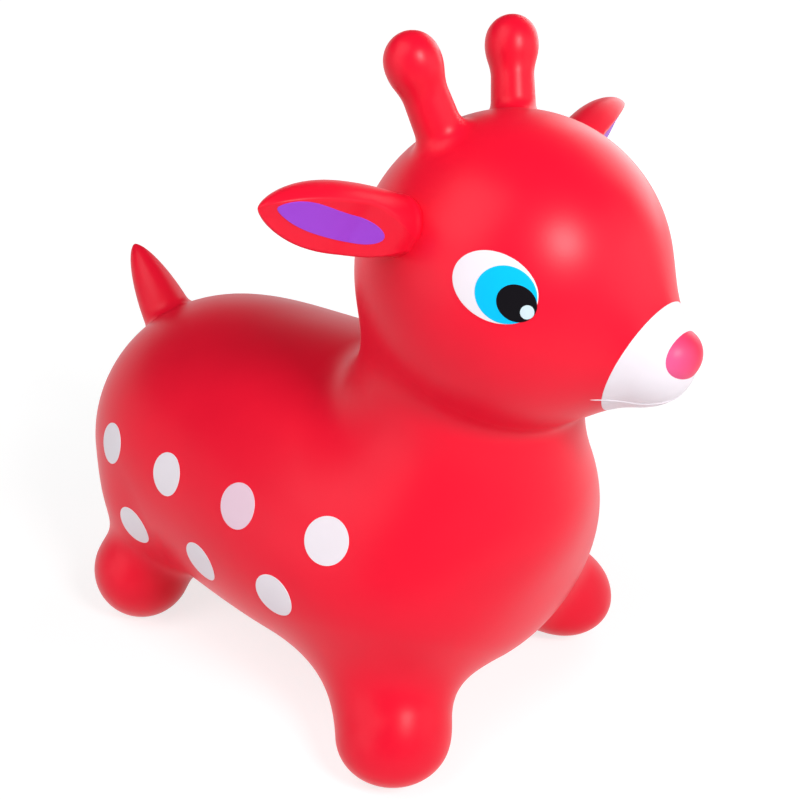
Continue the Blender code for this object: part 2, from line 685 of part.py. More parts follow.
tail_pivot = TAIL_FOOT + TAIL_WAY * TAIL_SPLIT_AT
tail_start = TAIL_SPLIT_AT + SEAM_GAP
tail_outer = tail_profile((0.0, 0.25, 0.5, 0.7, 0.85, 0.95), tail_start, 0.0) + [(TAIL_LENGTH, 0.0)]
tail_inner = tail_profile((0.0, 0.3, 0.6, 0.75), tail_start, SKIN_WALL) + [(0.92 * TAIL_LENGTH, 0.0)]
tail_rings = axis_rings(TAIL_FOOT, TAIL_WAY, (1, 0, 0), list(reversed(tail_outer)) + tail_inner, 18)
tail = ring_object("tail", tail_rings, RED, tail_pivot)
tail_root_levels = (-TAIL_ROOT_DEPTH, 0.3 * TAIL_SPLIT_AT, TAIL_SPLIT_AT)
tail_root_outer = [(a, tail_radius(a)) for a in tail_root_levels]
tail_root_inner = [(a, tail_radius(a) - SKIN_WALL) for a in reversed(tail_root_levels)]
tail_root_rings = axis_rings(TAIL_FOOT, TAIL_WAY, (1, 0, 0), tail_root_outer + tail_root_inner, 18)
tail_root = ring_object("tail_root", tail_root_rings, RED, tail_pivot, True)
cut(tail_root, trunk_guide)
tail_bore_radius = 0.5 * TAIL_ROOT_RADIUS
tail_bore_ends = (-2.0 * TAIL_ROOT_DEPTH, TAIL_SPLIT_AT)
tail_stations = ((tail_bore_ends[0], 0.0), (tail_bore_ends[0], tail_bore_radius),
                 (tail_bore_ends[1], tail_bore_radius), (tail_bore_ends[1], 0.0))
tail_bore = ring_object("guide_tail_bore", axis_rings(TAIL_FOOT, TAIL_WAY, (1, 0, 0), tail_stations, 12))
cut(trunk_shell, tail_bore)

# Legs: a bending sleeve from the trunk and a cup-shaped foot with a flat sole
FOOT_Z = FOOT_RADIUS - FOOT_SOLE_CUT
FRONT_FOOT_X = TRUNK_MID_X + TRUNK_FRONT_LENGTH - FRONT_FOOT_SETBACK
REAR_FOOT_X = TRUNK_MID_X - TRUNK_REAR_LENGTH + REAR_FOOT_SETBACK


def leg_centre(foot_x, foot_y, lean_x, lean_y, z):
    """The leg's middle at a height: upright in the foot, leaning to the trunk above it."""
    f = max(z - FOOT_Z, 0.0) / (LEG_TOP_Z - FOOT_Z)
    return Vector((foot_x - lean_x * f, foot_y - lean_y * f, z))


def leg_radius(z, inset):
    """The leg's radius at a height: a ball low down, a gentle taper above its middle."""
    if z < FOOT_Z:
        return math.sqrt(max((FOOT_RADIUS - inset) ** 2 - (FOOT_Z - z) ** 2, 0.0))
    return FOOT_RADIUS - inset - LEG_TAPER * (z - FOOT_Z)


def leg_ring(leg, z, inset, count=20):
    """One level ring of a leg."""
    centre = leg_centre(leg[0], leg[1], leg[2], leg[3], z)
    return circle(centre, Vector((1.0, 0.0, 0.0)), Vector((0.0, 1.0, 0.0)), leg_radius(z, inset), count)


for name, foot_x, foot_y, fore, side in (("front_right", FRONT_FOOT_X, FRONT_FOOT_Y, 1, -1),
                                         ("front_left", FRONT_FOOT_X, FRONT_FOOT_Y, 1, 1),
                                         ("rear_right", REAR_FOOT_X, REAR_FOOT_Y, -1, -1),
                                         ("rear_left", REAR_FOOT_X, REAR_FOOT_Y, -1, 1)):
    leg = (foot_x, side * foot_y, fore * LEG_LEAN_X, side * LEG_LEAN_Y)
    pivot = (foot_x, side * foot_y, FOOT_RIM_Z)
    outer_levels = [FOOT_RIM_Z * f for f in (0.0, 0.12, 0.3, 0.55, 0.8, 1.0)]
    rings = [[Vector((leg[0], leg[1], 0.0))]]
    rings += [leg_ring(leg, z, 0.0) for z in outer_levels]
    inner_levels = [SKIN_WALL + (FOOT_RIM_Z - SKIN_WALL) * f for f in (1.0, 0.66, 0.33, 0.0)]
    rings += [leg_ring(leg, z, SKIN_WALL) for z in inner_levels]
    rings.append([Vector((leg[0], leg[1], SKIN_WALL))])
    ring_object("foot_" + name, rings, RED, pivot)
    low = FOOT_RIM_Z + SEAM_GAP
    sleeve_levels = [low, FOOT_Z + 0.004, FOOT_Z + 0.35 * (LEG_TOP_Z - FOOT_Z), LEG_TOP_Z]
    rings = [leg_ring(leg, z, 0.0) for z in sleeve_levels]
    rings += [leg_ring(leg, z, SKIN_WALL) for z in reversed(sleeve_levels)]
    sleeve = ring_object("leg_sleeve_" + name, rings, RED, pivot, True)
    cut(sleeve, trunk_guide)
    bore_levels = (FOOT_Z - 0.010, LEG_TOP_Z)
    rings = [[leg_centre(leg[0], leg[1], leg[2], leg[3], bore_levels[0])]]
    rings += [leg_ring(leg, z, 4.0 * SKIN_WALL, 16) for z in bore_levels]
    rings.append([leg_centre(leg[0], leg[1], leg[2], leg[3], bore_levels[1])])
    cut(trunk_shell, ring_object("guide_leg_bore_" + name, rings))


# Painted spots on both flanks
def spot_place(side, x, angle):
    """A round patch on the trunk, lifted over the neck's fillet; u runs along the trunk and v round it."""
    w, h, _ = trunk_sizes(x)
    bend = math.hypot(w * math.sin(angle), h * math.cos(angle))

    def place(u, v, offset):
        px = x + SPOT_RADIUS * u
        pa = angle + SPOT_RADIUS * v / bend
        foot = trunk_point(px, pa)
        out = trunk_normal(px, pa)
        lift = offset
        for _ in range(8):
            lift += offset - body_distance(foot + out * lift)
        p = foot + out * lift
        return Vector((p.x, -side * p.y, p.z))
    return place


for side, tag in ((-1, "right"), (1, "left")):
    spots = list(zip(UPPER_SPOT_X, UPPER_SPOT_DEG)) + list(zip(LOWER_SPOT_X, LOWER_SPOT_DEG))
    for number, (x, deg) in enumerate(spots):
        place = spot_place(side, x, math.radians(deg))
        rings = disc_rings(place, SEAM_GAP, SEAM_GAP + PAINT_THICK, 14, 2)
        ring_object("spot_" + tag + "_" + str(number + 1), rings, WHITE)

# Air valve under the belly: a flanged seat and its plug
valve_w, valve_h, valve_axis = trunk_sizes(VALVE_X)
valve_z = valve_axis - valve_h - VALVE_DROP
valve_point = Vector((VALVE_X, 0.0, valve_z))
seat_stations = ((0.0, VALVE_SPIGOT), (-0.010, VALVE_SPIGOT), (-0.010, VALVE_BORE),
                 (VALVE_FLANGE_THICK, VALVE_BORE), (VALVE_FLANGE_THICK, VALVE_FLANGE), (0.0, VALVE_FLANGE))
seat_rings = axis_rings(valve_point, (0, 0, -1), (1, 0, 0), seat_stations, 16)
valve_seat = ring_object("valve_seat", seat_rings, WHITE, None, True)
plug_top = VALVE_FLANGE_THICK + SEAM_GAP
stem_radius = VALVE_BORE - SEAM_GAP
plug_stations = ((-0.008, 0.0), (-0.008, stem_radius), (plug_top, stem_radius), (plug_top, VALVE_PLUG_HEAD),
                 (plug_top + 0.003, VALVE_PLUG_HEAD), (plug_top + 0.003, 0.0))
plug_rings = axis_rings(valve_point, (0, 0, -1), (1, 0, 0), plug_stations, 16)
valve_plug = ring_object("valve_plug", plug_rings, WHITE, valve_point)
hole_radius = VALVE_SPIGOT + SEAM_GAP
hole_stations = ((-0.030, 0.0), (-0.030, hole_radius), (0.010, hole_radius), (0.010, 0.0))
valve_hole = ring_object("guide_valve_hole", axis_rings(valve_point, (0, 0, -1), (1, 0, 0), hole_stations, 16))
cut(trunk_shell, valve_hole)
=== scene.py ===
# %% [markdown]
# # A bouncy ride-on deer, finished for the camera
# The object is a hopper animal: one soft vinyl skin, blown up with air, that a child sits on and bounces.
# Its CAD frame gives the bodies and joints. This script lays a smooth skin and its paints over that frame.
# The frame's solids could be shown as they are, but their facets would break the highlights of a blown skin.
# So every piece is a surface worked out with numpy, and each cell says which formula gives the shape.
# All lengths are metres in the frame's own axes: +X to the nose, +Y to the animal's left, +Z up, floor at 0.

# %% Load the frame
import math

import bpy
import numpy as np
from mathutils import Matrix


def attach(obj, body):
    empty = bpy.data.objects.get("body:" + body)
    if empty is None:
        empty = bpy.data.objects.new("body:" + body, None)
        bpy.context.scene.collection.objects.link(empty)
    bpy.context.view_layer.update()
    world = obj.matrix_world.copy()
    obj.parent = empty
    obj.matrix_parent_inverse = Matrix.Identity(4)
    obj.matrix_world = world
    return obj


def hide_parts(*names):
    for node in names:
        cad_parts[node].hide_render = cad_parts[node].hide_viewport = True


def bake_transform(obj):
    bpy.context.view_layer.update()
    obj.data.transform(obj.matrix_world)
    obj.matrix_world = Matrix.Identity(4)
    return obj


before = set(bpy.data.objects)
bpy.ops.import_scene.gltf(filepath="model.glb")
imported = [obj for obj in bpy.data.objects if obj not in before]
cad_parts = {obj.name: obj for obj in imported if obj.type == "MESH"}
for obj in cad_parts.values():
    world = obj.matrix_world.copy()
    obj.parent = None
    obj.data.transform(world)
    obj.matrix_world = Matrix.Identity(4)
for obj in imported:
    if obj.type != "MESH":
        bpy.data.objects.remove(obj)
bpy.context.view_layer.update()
SIDES = (("right", -1.0), ("left", 1.0))

# %% [markdown]
# ## Skin as a distance field
# The real skin has no edges between belly, neck, head and legs: it flows from one into the next.
# Separate balls and tubes would meet in creases. A field that gives the distance to the skin can join two
# forms with a fillet of a stated width instead, so the whole animal is written as a few joined fields.


# %% Joining two forms
TINY, LEAST = 1e-9, 1e-6
FORE, LEFT, UP = np.eye(3)


def dot(a, b):
    """Scalar product along the last axis."""
    return np.sum(a * b, axis=-1)


def unit(v):
    """Vectors of length one."""
    return v / np.maximum(np.linalg.norm(v, axis=-1, keepdims=True), TINY)


def ease(t):
    """Smooth step from 0 to 1: t * t * (3 - 2 * t)."""
    t = np.clip(t, 0.0, 1.0)
    return t * t * (3.0 - 2.0 * t)


def soft_join(a, b, width):
    """Union with a fillet: the smaller distance less h * h * width / 4, with h = 1 - |a - b| / width or 0."""
    h = np.maximum(width - np.abs(a - b), 0.0) / width
    return np.minimum(a, b) - h * h * width / 4.0


def soft_meet(a, b, width):
    """Overlap of two forms with a rounded edge: the union of their outsides, turned inside out."""
    return -soft_join(-a, -b, width)


def round_cone(p, a, b, ra, rb):
    """Distance to a tight skin over two balls: a ball at each end and the straight side that touches both."""
    span = np.linalg.norm(b - a)
    way = (b - a) / span
    lean = (ra - rb) / span
    rise = math.sqrt(1.0 - lean * lean)
    along = dot(p - a, way)
    across = np.linalg.norm(p - a - along[..., None] * way, axis=-1)
    reach = along * rise - across * lean
    side = across * rise + along * lean - ra
    low = np.hypot(across, along) - ra
    high = np.hypot(across, along - span) - rb
    return np.where(reach < 0.0, low, np.where(reach > rise * span, high, side))


print("a 20 mm fillet fills a crease by", -1000.0 * soft_join(0.0, 0.0, 0.020), "mm")

# %% [markdown]
# ## Trunk form
# The trunk is the long egg that a child sits on, fuller at the chest than at the rump.
# A stretched ball would be too pointed. A power of three instead of two gives the blunt ends of a blown skin.


# %% Trunk form
TRUNK_MID, TRUNK_REAR, TRUNK_FRONT, TRUNK_ROUND = -0.100, 0.165, 0.298, 3.0
# Half width, half height and axis height, each at the rear end and at the front end.
TRUNK_WIDE, TRUNK_HIGH, TRUNK_AXIS = (0.131, 0.1785), (0.1255, 0.132), (0.1555, 0.1465)


def trunk_sizes(x):
    """Half width, half height and axis height of the trunk's full section at x, in proportion along it."""
    mix = np.clip((x - TRUNK_MID + TRUNK_REAR) / (TRUNK_REAR + TRUNK_FRONT), 0.0, 1.0)
    return [rear + (front - rear) * mix for rear, front in (TRUNK_WIDE, TRUNK_HIGH, TRUNK_AXIS)]


def trunk_share(x):
    """Place along the trunk: 0 at its middle, 1 at either end, and the half length there."""
    length = np.where(x < TRUNK_MID, TRUNK_REAR, TRUNK_FRONT)
    return np.abs((x - TRUNK_MID) / length), length


def trunk_full(t):
    """How full the section at a place t along the trunk is: (1 - |t|^n)^(1/n)."""
    return np.maximum(1.0 - np.abs(t) ** TRUNK_ROUND, 0.0) ** (1.0 / TRUNK_ROUND)


def trunk_field(p):
    """A long egg: F = (rho^n + t^n)^(1/n) - 1, over its slope to read as metres."""
    n = TRUNK_ROUND
    t, length = trunk_share(p[..., 0])
    w, h, c = trunk_sizes(p[..., 0])
    y, z = p[..., 1] / w, (p[..., 2] - c) / h
    rho = np.maximum(np.hypot(y, z), LEAST)
    t = np.maximum(t, LEAST)
    total = rho ** n + t ** n
    across = rho ** (2 * n - 4) * ((y / w) ** 2 + (z / h) ** 2)
    steep = total ** (1.0 / n - 1.0) * np.sqrt(across + (t ** (n - 1) / length) ** 2)
    return (total ** (1.0 / n) - 1.0) / np.maximum(steep, LEAST)


print("trunk is", TRUNK_REAR + TRUNK_FRONT, "m long and up to", 2.0 * TRUNK_WIDE[1], "m wide")

# %% [markdown]
# ## Neck and head form
# The head is a ball with a short blunt snout, and the neck a thick stub that widens into the chest.
# The fold under the chin is tight while the nape flows, so the fillet's width changes from front to back.


# %% Neck and head form
NECK_FOOT, NECK_TOP = np.array([0.109, 0.0, 0.200]), np.array([0.1235, 0.0, 0.374])
NECK_RADII, NECK_SOFT = (0.0985, 0.0692), 0.036
NECK_WAY = unit(NECK_TOP - NECK_FOOT)
HEAD_CENTRE, HEAD_RADIUS, HEAD_SHAPE = np.array([0.1505, 0.0, 0.374]), 0.111, np.array([1.0, 0.95, 1.0])
SNOUT_DROP, SNOUT_SOFT = 16.5, 0.030
SNOUT_AT, SNOUT_LENGTH, SNOUT_BASE, SNOUT_TIP = 0.030, 0.114, 0.0555, 0.0322
CHIN_SOFT, NAPE_SOFT, NAPE_END, CHIN_REACH = 0.010, 0.0205, 0.08, 0.12


def aimed(drop):
    """Forward and upward unit vectors of an axis that drops by some degrees."""
    fall = math.radians(drop)
    return np.array([math.cos(fall), 0.0, -math.sin(fall)]), np.array([math.sin(fall), 0.0, math.cos(fall)])


SNOUT_WAY, SNOUT_UP = aimed(SNOUT_DROP)


def head_field(p):
    """A ball and a round cone for the snout, softly joined, a little narrower than high."""
    q = (p - HEAD_CENTRE) / HEAD_SHAPE
    ball = np.linalg.norm(q, axis=-1) - HEAD_RADIUS
    snout = round_cone(q, SNOUT_WAY * SNOUT_AT, SNOUT_WAY * SNOUT_LENGTH, SNOUT_BASE, SNOUT_TIP)
    return soft_join(ball, snout, SNOUT_SOFT)


def neck_field(p):
    """A thick neck that widens from the head down into the trunk."""
    return round_cone(p, NECK_FOOT, NECK_TOP, *NECK_RADII)


def chin_width(p):
    """Width of the fillet under the head: narrow at the chin, wider round the nape."""
    return NAPE_SOFT + (CHIN_SOFT - NAPE_SOFT) * ease((p[..., 0] - NAPE_END) / CHIN_REACH)


def shoulder_field(p):
    """Trunk and neck together."""
    return soft_join(trunk_field(p), neck_field(p), NECK_SOFT)


def body_field(p):
    """Trunk, neck and head together."""
    return soft_join(shoulder_field(p), head_field(p), chin_width(p))


print("the neck's axis stands", round(math.degrees(math.acos(NECK_WAY[2])), 1), "degrees off upright")

# %% [markdown]
# ## Finding the skin
# The skin lies where a field is zero. Sampling the field in a block of cells would leave steps.
# Here points slide along its slope onto the skin, or a ray is halved until its end is on the skin.


# %% Settling points and rays on a field
SLOPE_STEP, SETTLE_STEPS, HALVINGS = 1e-4, 6, 44


def slope(field, p):
    """The way a field grows, by central differences along x, y and z."""
    parts = [field(p + d) - field(p - d) for d in np.eye(3) * SLOPE_STEP]
    return np.stack(parts, axis=-1) / (2.0 * SLOPE_STEP)


def settle(field, p, steps=SETTLE_STEPS):
    """Slide points along the field's slope, by its value over its slope squared, onto the skin."""
    for _ in range(steps):
        g = slope(field, p)
        p = p - (field(p) / np.maximum(dot(g, g), TINY))[..., None] * g
    return p


def ray_hit(field, origin, ways, far):
    """How far along each ray from inside the skin lies, by halving the interval."""
    low = np.zeros(ways.shape[:-1])
    high = np.full(ways.shape[:-1], far)
    for _ in range(HALVINGS):
        mid = 0.5 * (low + high)
        inside = field(origin + ways * mid[..., None]) < 0.0
        low = np.where(inside, mid, low)
        high = np.where(inside, high, mid)
    return low


seat = ray_hit(trunk_field, np.array([0.0, 0.0, TRUNK_AXIS[0]]), UP[None], 0.3)[0] + TRUNK_AXIS[0]
print("the seat is", round(float(seat), 3), "m above the floor")

# %% [markdown]
# ## From a grid of points to a piece
# A piece is rows of points, each row a closed ring, and its two end rows are drawn together to a point.
# Blender could smooth the normals by itself, but then two pieces that meet would show a line of light between
# them. Both take their normals from the same field instead, so light runs across the join.


# %% Grid to mesh
def mesh_object(name, points, faces):
    """A smooth shaded mesh object in the scene."""
    mesh = bpy.data.meshes.new(name)
    mesh.from_pydata(points.tolist(), [], faces)
    mesh.polygons.foreach_set("use_smooth", np.ones(len(mesh.polygons), bool))
    made = bpy.data.objects.new(name, mesh)
    bpy.context.scene.collection.objects.link(made)
    return made


def grid_faces(rows, cols):
    """Fans at both ends and quads between, for rings whose first and last rows are single points."""
    index = np.arange((rows - 2) * cols).reshape(rows - 2, cols) + 1
    ahead = np.roll(index, -1, axis=1)
    quads = np.stack([index[:-1], ahead[:-1], ahead[1:], index[1:]], axis=-1).reshape(-1, 4)
    first = np.stack([np.zeros(cols, int), ahead[0], index[0]], axis=-1)
    last = np.stack([index[-1], ahead[-1], np.full(cols, index.size + 1)], axis=-1)
    return first, quads, last


def field_normals(mesh, field, points, rows, cols, hidden_first, hidden):
    """Normals along the field's slope where the piece shows, flat ones on the rows inside a neighbour."""
    corner = np.empty(len(mesh.loops), int)
    mesh.loops.foreach_get("vertex_index", corner)
    flat = np.empty(len(mesh.polygons) * 3)
    mesh.polygon_normals.foreach_get("vector", flat)
    band = np.repeat(np.arange(rows - 1), cols)
    corners = np.where((band == 0) | (band == rows - 2), 3, 4)
    shown = np.repeat((band >= hidden_first) & (band < rows - 1 - hidden), corners)[:, None]
    plain = np.repeat(flat.reshape(-1, 3), corners, axis=0)
    smooth = unit(slope(field, points))[corner]
    mesh.normals_split_custom_set(np.where(shown, smooth, plain).tolist())


def make_piece(name, grid, field=None, hidden=0, hidden_first=0):
    """Mesh of rows x columns x 3 points; hidden rows at the ends close the piece inside its neighbour.
    Faces are turned outwards by the sign of the volume that they enclose."""
    rows, cols = grid.shape[:2]
    points = np.concatenate([grid[:1, 0], grid[1:-1].reshape(-1, 3), grid[-1:, 0]])
    first, quads, last = grid_faces(rows, cols)
    mid = points[quads].mean(axis=1)
    area = np.cross(points[quads[:, 2]] - points[quads[:, 0]], points[quads[:, 3]] - points[quads[:, 1]])
    if np.sum(dot(mid - points.mean(axis=0), area)) < 0.0:
        first, quads, last = first[:, ::-1], quads[:, ::-1], last[:, ::-1]
    piece = mesh_object(name, points, first.tolist() + quads.tolist() + last.tolist())
    if field is not None:
        field_normals(piece.data, field, points, rows, cols, hidden_first, hidden)
    return piece


print("a grid of 4 rings and 8 columns has", sum(len(part) for part in grid_faces(4, 8)), "faces")

# %% [markdown]
# ## Following the skin
# A leg, an antler or the tail has no simple formula where it runs into the body. It is walked instead:
# in every half plane round its axis, small steps along the outline's tangent, from its tip until the fillet
# has died away in the neighbour's skin. There it is closed, out of sight, inside the neighbour.


# %% Following the skin
AXIS_GAP, OUTWARDS = 1e-5, (1.0, 0.0)


def full_turn(count):
    """Angles round a circle, with the last one a step short of the first."""
    return np.linspace(0.0, 2.0 * math.pi, count, endpoint=False)


def ring_ways(axis, count):
    """Unit spokes at right angles to an axis, the first one nearest to forwards."""
    first = unit(FORE - axis * dot(FORE, axis))
    second = np.cross(axis, first)
    turn = full_turn(count)[:, None]
    return first * np.cos(turn) + second * np.sin(turn)


def trace(field, origin, axis, spokes, start, heading, done, rows, step, steps):
    """Follow the skin in every half plane at once; a place there is its distance out and its height.
    Each step goes along the tangent and back onto the skin, until done; the rows are then spaced evenly."""
    def lift_out(flat):
        return origin + axis * flat[..., 1:] + spokes * flat[..., :1]

    def steer(flat):
        g = slope(field, lift_out(flat))
        return np.stack([dot(g, spokes), dot(g, axis[None, :])], axis=-1)

    at = np.array(np.broadcast_to(start, (len(spokes), 2)))
    way = np.broadcast_to(heading, at.shape)
    path = [at]
    for _ in range(steps):
        g = unit(steer(at))
        tangent = np.stack([-g[:, 1], g[:, 0]], axis=-1)
        way = tangent * np.sign(dot(tangent, way))[:, None]
        at = at + way * step
        g = steer(at)
        at = at - (field(lift_out(at)) / np.maximum(dot(g, g), TINY))[:, None] * g
        path.append(at)
    path = np.stack(path)
    over = done(np.stack([lift_out(p) for p in path]))
    over[-1] = True
    place = np.linspace(0.0, 1.0, rows)[:, None] * np.argmax(over, axis=0)
    low = np.minimum(place.astype(int), len(path) - 2)
    part = (place - low)[..., None]
    cols = np.arange(len(spokes))
    even = path[low, cols] * (1.0 - part) + path[low + 1, cols] * part
    return settle(field, np.stack([lift_out(p) for p in even]), steps=2)


def capped(grid, inside):
    """Close a branch inside its neighbour: one ring drawn half way to an inner point, then the point."""
    ring = 0.5 * (grid[-1] + inside)
    tip = np.broadcast_to(inside, grid[-1].shape)
    return np.concatenate([grid, ring[None], tip[None]])


def branch(name, field, own, soft, foot, axis, tip, inside, rows, cols, step, steps):
    """Follow a branch from its tip until its own field is a fillet's width away, and close it inside.
    Gives the piece, and how far up the axis its fillet ends."""
    start = (AXIS_GAP, dot(tip - foot, axis))
    grid = trace(field, foot, axis, ring_ways(axis, cols), start, OUTWARDS,
                 lambda p: own(p) > soft, rows, step, steps)
    grid[0] = tip
    piece = make_piece(name, capped(grid, inside), field, hidden=2)
    return piece, dot(grid[-1] - foot, axis).max()


def mirrored(place, side):
    """A place on the animal's left, or its mirror image on the right."""
    return np.array(place) * np.array([1.0, side, 1.0])


print("a first spoke on the neck:", ring_ways(NECK_WAY, 4)[0].round(3))

# %% [markdown]
# ## Finishes
# Soft vinyl is satin: its colour is deep, and a broad pale sheen lies where it faces a lamp.
# A plain colour would look like a drawing. One node group gives every finish a moulding's slow mottle and
# fine grain. Each material adds its own colour, roughness and sheen.


# %% Moulded unevenness
MOTTLE_SCALE, MOTTLE_SHADE, MOTTLE_ROUGH = 14.0, (0.93, 1.05), (-0.05, 0.05)
GRAIN_SCALE, GRAIN_BUMP, GRAIN_HEIGHT = 520.0, 0.06, 0.0006


def node(tree, kind, **values):
    """A node with named inputs set."""
    made = tree.nodes.new(kind)
    for key, value in values.items():
        made.inputs[key].default_value = value
    return made


def mapped(tree, low, high, start=0.0, stop=1.0):
    """A node that maps a value between start and stop to one between low and high."""
    return node(tree, "ShaderNodeMapRange",
                **{"From Min": start, "From Max": stop, "To Min": low, "To Max": high})


def wire(tree, *links):
    """Link outputs to inputs, each given as node, output, node, input."""
    for source, leaves, target, enters in links:
        tree.links.new(source.outputs[leaves], target.inputs[enters])


def moulding_group():
    """Colour and roughness with a moulding's slow mottle, and a height for its fine grain."""
    tree = bpy.data.node_groups.new("moulded_unevenness", "ShaderNodeTree")
    for way, names in (("INPUT", ("Colour", "Roughness")), ("OUTPUT", ("Colour", "Roughness", "Height"))):
        for name in names:
            kind = "NodeSocketColor" if name == "Colour" else "NodeSocketFloat"
            tree.interface.new_socket(name, in_out=way, socket_type=kind)
    come = tree.nodes.new("NodeGroupInput")
    go = tree.nodes.new("NodeGroupOutput")
    place = tree.nodes.new("ShaderNodeTexCoord")
    slow = node(tree, "ShaderNodeTexNoise", Scale=MOTTLE_SCALE, Detail=3.0)
    grain = node(tree, "ShaderNodeTexNoise", Scale=GRAIN_SCALE, Detail=2.0)
    shade, rough = mapped(tree, *MOTTLE_SHADE), mapped(tree, *MOTTLE_ROUGH)
    tint = tree.nodes.new("ShaderNodeVectorMath")
    tint.operation = "SCALE"
    add = tree.nodes.new("ShaderNodeMath")
    wire(tree,
         (place, "Object", slow, "Vector"), (place, "Object", grain, "Vector"),
         (slow, "Fac", shade, "Value"), (slow, "Fac", rough, "Value"),
         (come, "Colour", tint, 0), (shade, "Result", tint, "Scale"),
         (come, "Roughness", add, 0), (rough, "Result", add, 1),
         (tint, "Vector", go, "Colour"), (add, "Value", go, "Roughness"), (grain, "Fac", go, "Height"))
    return tree


MOULDING = moulding_group()
print("node group", MOULDING.name, "with", len(MOULDING.nodes), "nodes")

# %% [markdown]
# ## Red vinyl
# The skin is coloured right through, so every red piece has the same finish. A picture could carry it, but a
# shader stays sharp at any distance.


# %% Red vinyl
def finish_of(name, colour, rough, sheen=0.25):
    """A vinyl or paint material: the group's colour, roughness and grain on one principled shader."""
    material = bpy.data.materials.new(name)
    material.use_nodes = True
    tree = material.node_tree
    shader = tree.nodes["Principled BSDF"]
    shader.inputs["Specular IOR Level"].default_value = sheen
    group = tree.nodes.new("ShaderNodeGroup")
    group.node_tree = MOULDING
    group.inputs["Colour"].default_value = (*colour, 1.0)
    group.inputs["Roughness"].default_value = rough
    bump = node(tree, "ShaderNodeBump", Strength=GRAIN_BUMP, Distance=GRAIN_HEIGHT)
    wire(tree,
         (group, "Colour", shader, "Base Color"), (group, "Roughness", shader, "Roughness"),
         (group, "Height", bump, "Height"), (bump, "Normal", shader, "Normal"))
    return material


def dress(piece, material, slot_name, *nodes):
    """Give a piece its material, and hide the CAD nodes it stands for; slot_name is not used."""
    piece.data.materials.append(material)
    if nodes:
        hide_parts(*nodes)
    print(piece.name, len(piece.data.polygons), "faces in", material.name)


RED = finish_of("red_vinyl", (0.88, 0.005, 0.030), 0.36, sheen=0.22)
print("finish", RED.name)

# %% [markdown]
# ## Trunk
# The trunk's skin could be walked like the legs', but it has a formula of its own. It is a plain function of
# two parameters: the place along the egg and the angle round it.


# %% Trunk
def trunk_skin(rows, cols):
    """x runs over the egg by a sine; each section is an ellipse scaled by how full the egg is there."""
    s = np.sin(math.pi * (np.linspace(0.0, 1.0, rows) - 0.5))[:, None]
    x = TRUNK_MID + np.where(s < 0.0, TRUNK_REAR, TRUNK_FRONT) * s
    full = trunk_full(s)
    w, h, c = trunk_sizes(x)
    turn = full_turn(cols)
    return np.stack([x + 0.0 * turn, w * full * np.cos(turn), c + h * full * np.sin(turn)], axis=-1)


trunk = make_piece("trunk_skin", trunk_skin(rows=181, cols=224), trunk_field)
dress(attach(trunk, "trunk"), RED, "skin_red", "trunk_shell")

# %% [markdown]
# ## Head
# A globe's meridians would leave the short blunt snout as a bulge between them. So the outline is turned
# round the snout's own axis, which gives the snout even rings, and is then narrowed a little.


# %% Head
OUTLINE_SAMPLES, HEAD_FAR = 1500, 0.3


def head_skin(rows, cols):
    """Rays from the head's middle at an angle off the snout's axis, spaced evenly along the outline."""
    angle = np.linspace(0.0, math.pi, OUTLINE_SAMPLES)
    ways = np.cos(angle)[:, None] * SNOUT_WAY + np.sin(angle)[:, None] * SNOUT_UP
    reach = ray_hit(head_field, HEAD_CENTRE, ways, HEAD_FAR)
    line = ways * reach[:, None]
    length = np.concatenate([[0.0], np.cumsum(np.linalg.norm(np.diff(line, axis=0), axis=1))])
    even = np.interp(np.linspace(0.0, length[-1], rows), length, angle)
    reach = np.interp(even, angle, reach)[:, None, None]
    even = even[:, None, None]
    turn = full_turn(cols)[None, :, None]
    ring = SNOUT_UP * np.cos(turn) + LEFT * np.sin(turn)
    ray = SNOUT_WAY * np.cos(even) + ring * np.sin(even)
    return HEAD_CENTRE + ray * reach * HEAD_SHAPE


head = make_piece("head_skin", head_skin(rows=161, cols=192), head_field)
dress(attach(head, "head"), RED, "skin_red", "head_shell")

# %% [markdown]
# ## Neck
# The neck is a soft valley between back, chest and head. A tube would show both its ends, so the joined field
# is followed: from the neck's waist, down until the fillet has died away on the trunk, and up until it has on
# the head.


# %% Neck
NECK_WAIST, WAIST_LEAN, WAIST_FAR = 0.086, 0.244, 0.12
NECK_TILT, NECK_INSET, BORDER_GAP = unit(np.array([0.406, 0.0, 0.914])), 0.04, 0.001


def neck_skin(cols):
    """The walk down and the walk up from a leaning ring round the neck's waist."""
    spokes = ring_ways(NECK_WAY, cols)
    leaning = unit(spokes - NECK_WAY * (WAIST_LEAN * dot(spokes, spokes[0]))[:, None])
    middle = NECK_FOOT + NECK_WAY * NECK_WAIST
    ring = ray_hit(body_field, middle, leaning, WAIST_FAR)[:, None] * leaning
    start = np.stack([dot(ring, spokes), NECK_WAIST + dot(ring, NECK_WAY)], axis=-1)
    low = trace(body_field, NECK_FOOT, NECK_WAY, spokes, start, (0.0, -1.0),
                lambda p: (neck_field(p) > NECK_SOFT) & (head_field(p) > chin_width(p)),
                rows=60, step=0.0008, steps=240)
    high = trace(body_field, NECK_FOOT, NECK_WAY, spokes, start, (0.0, 1.0),
                 lambda p: shoulder_field(p) > chin_width(p), rows=40, step=0.0006, steps=240)
    return low, high, middle


low_part, high_part, waist = neck_skin(160)
sheet = capped(np.concatenate([low_part[::-1], high_part[1:]]), NECK_TOP)
sheet = capped(sheet[::-1], NECK_FOOT - UP * NECK_INSET)[::-1]
neck = make_piece("neck_skin", sheet, body_field, hidden=2, hidden_first=2)
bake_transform(neck)
dress(neck, RED, "skin_red", "neck_band")
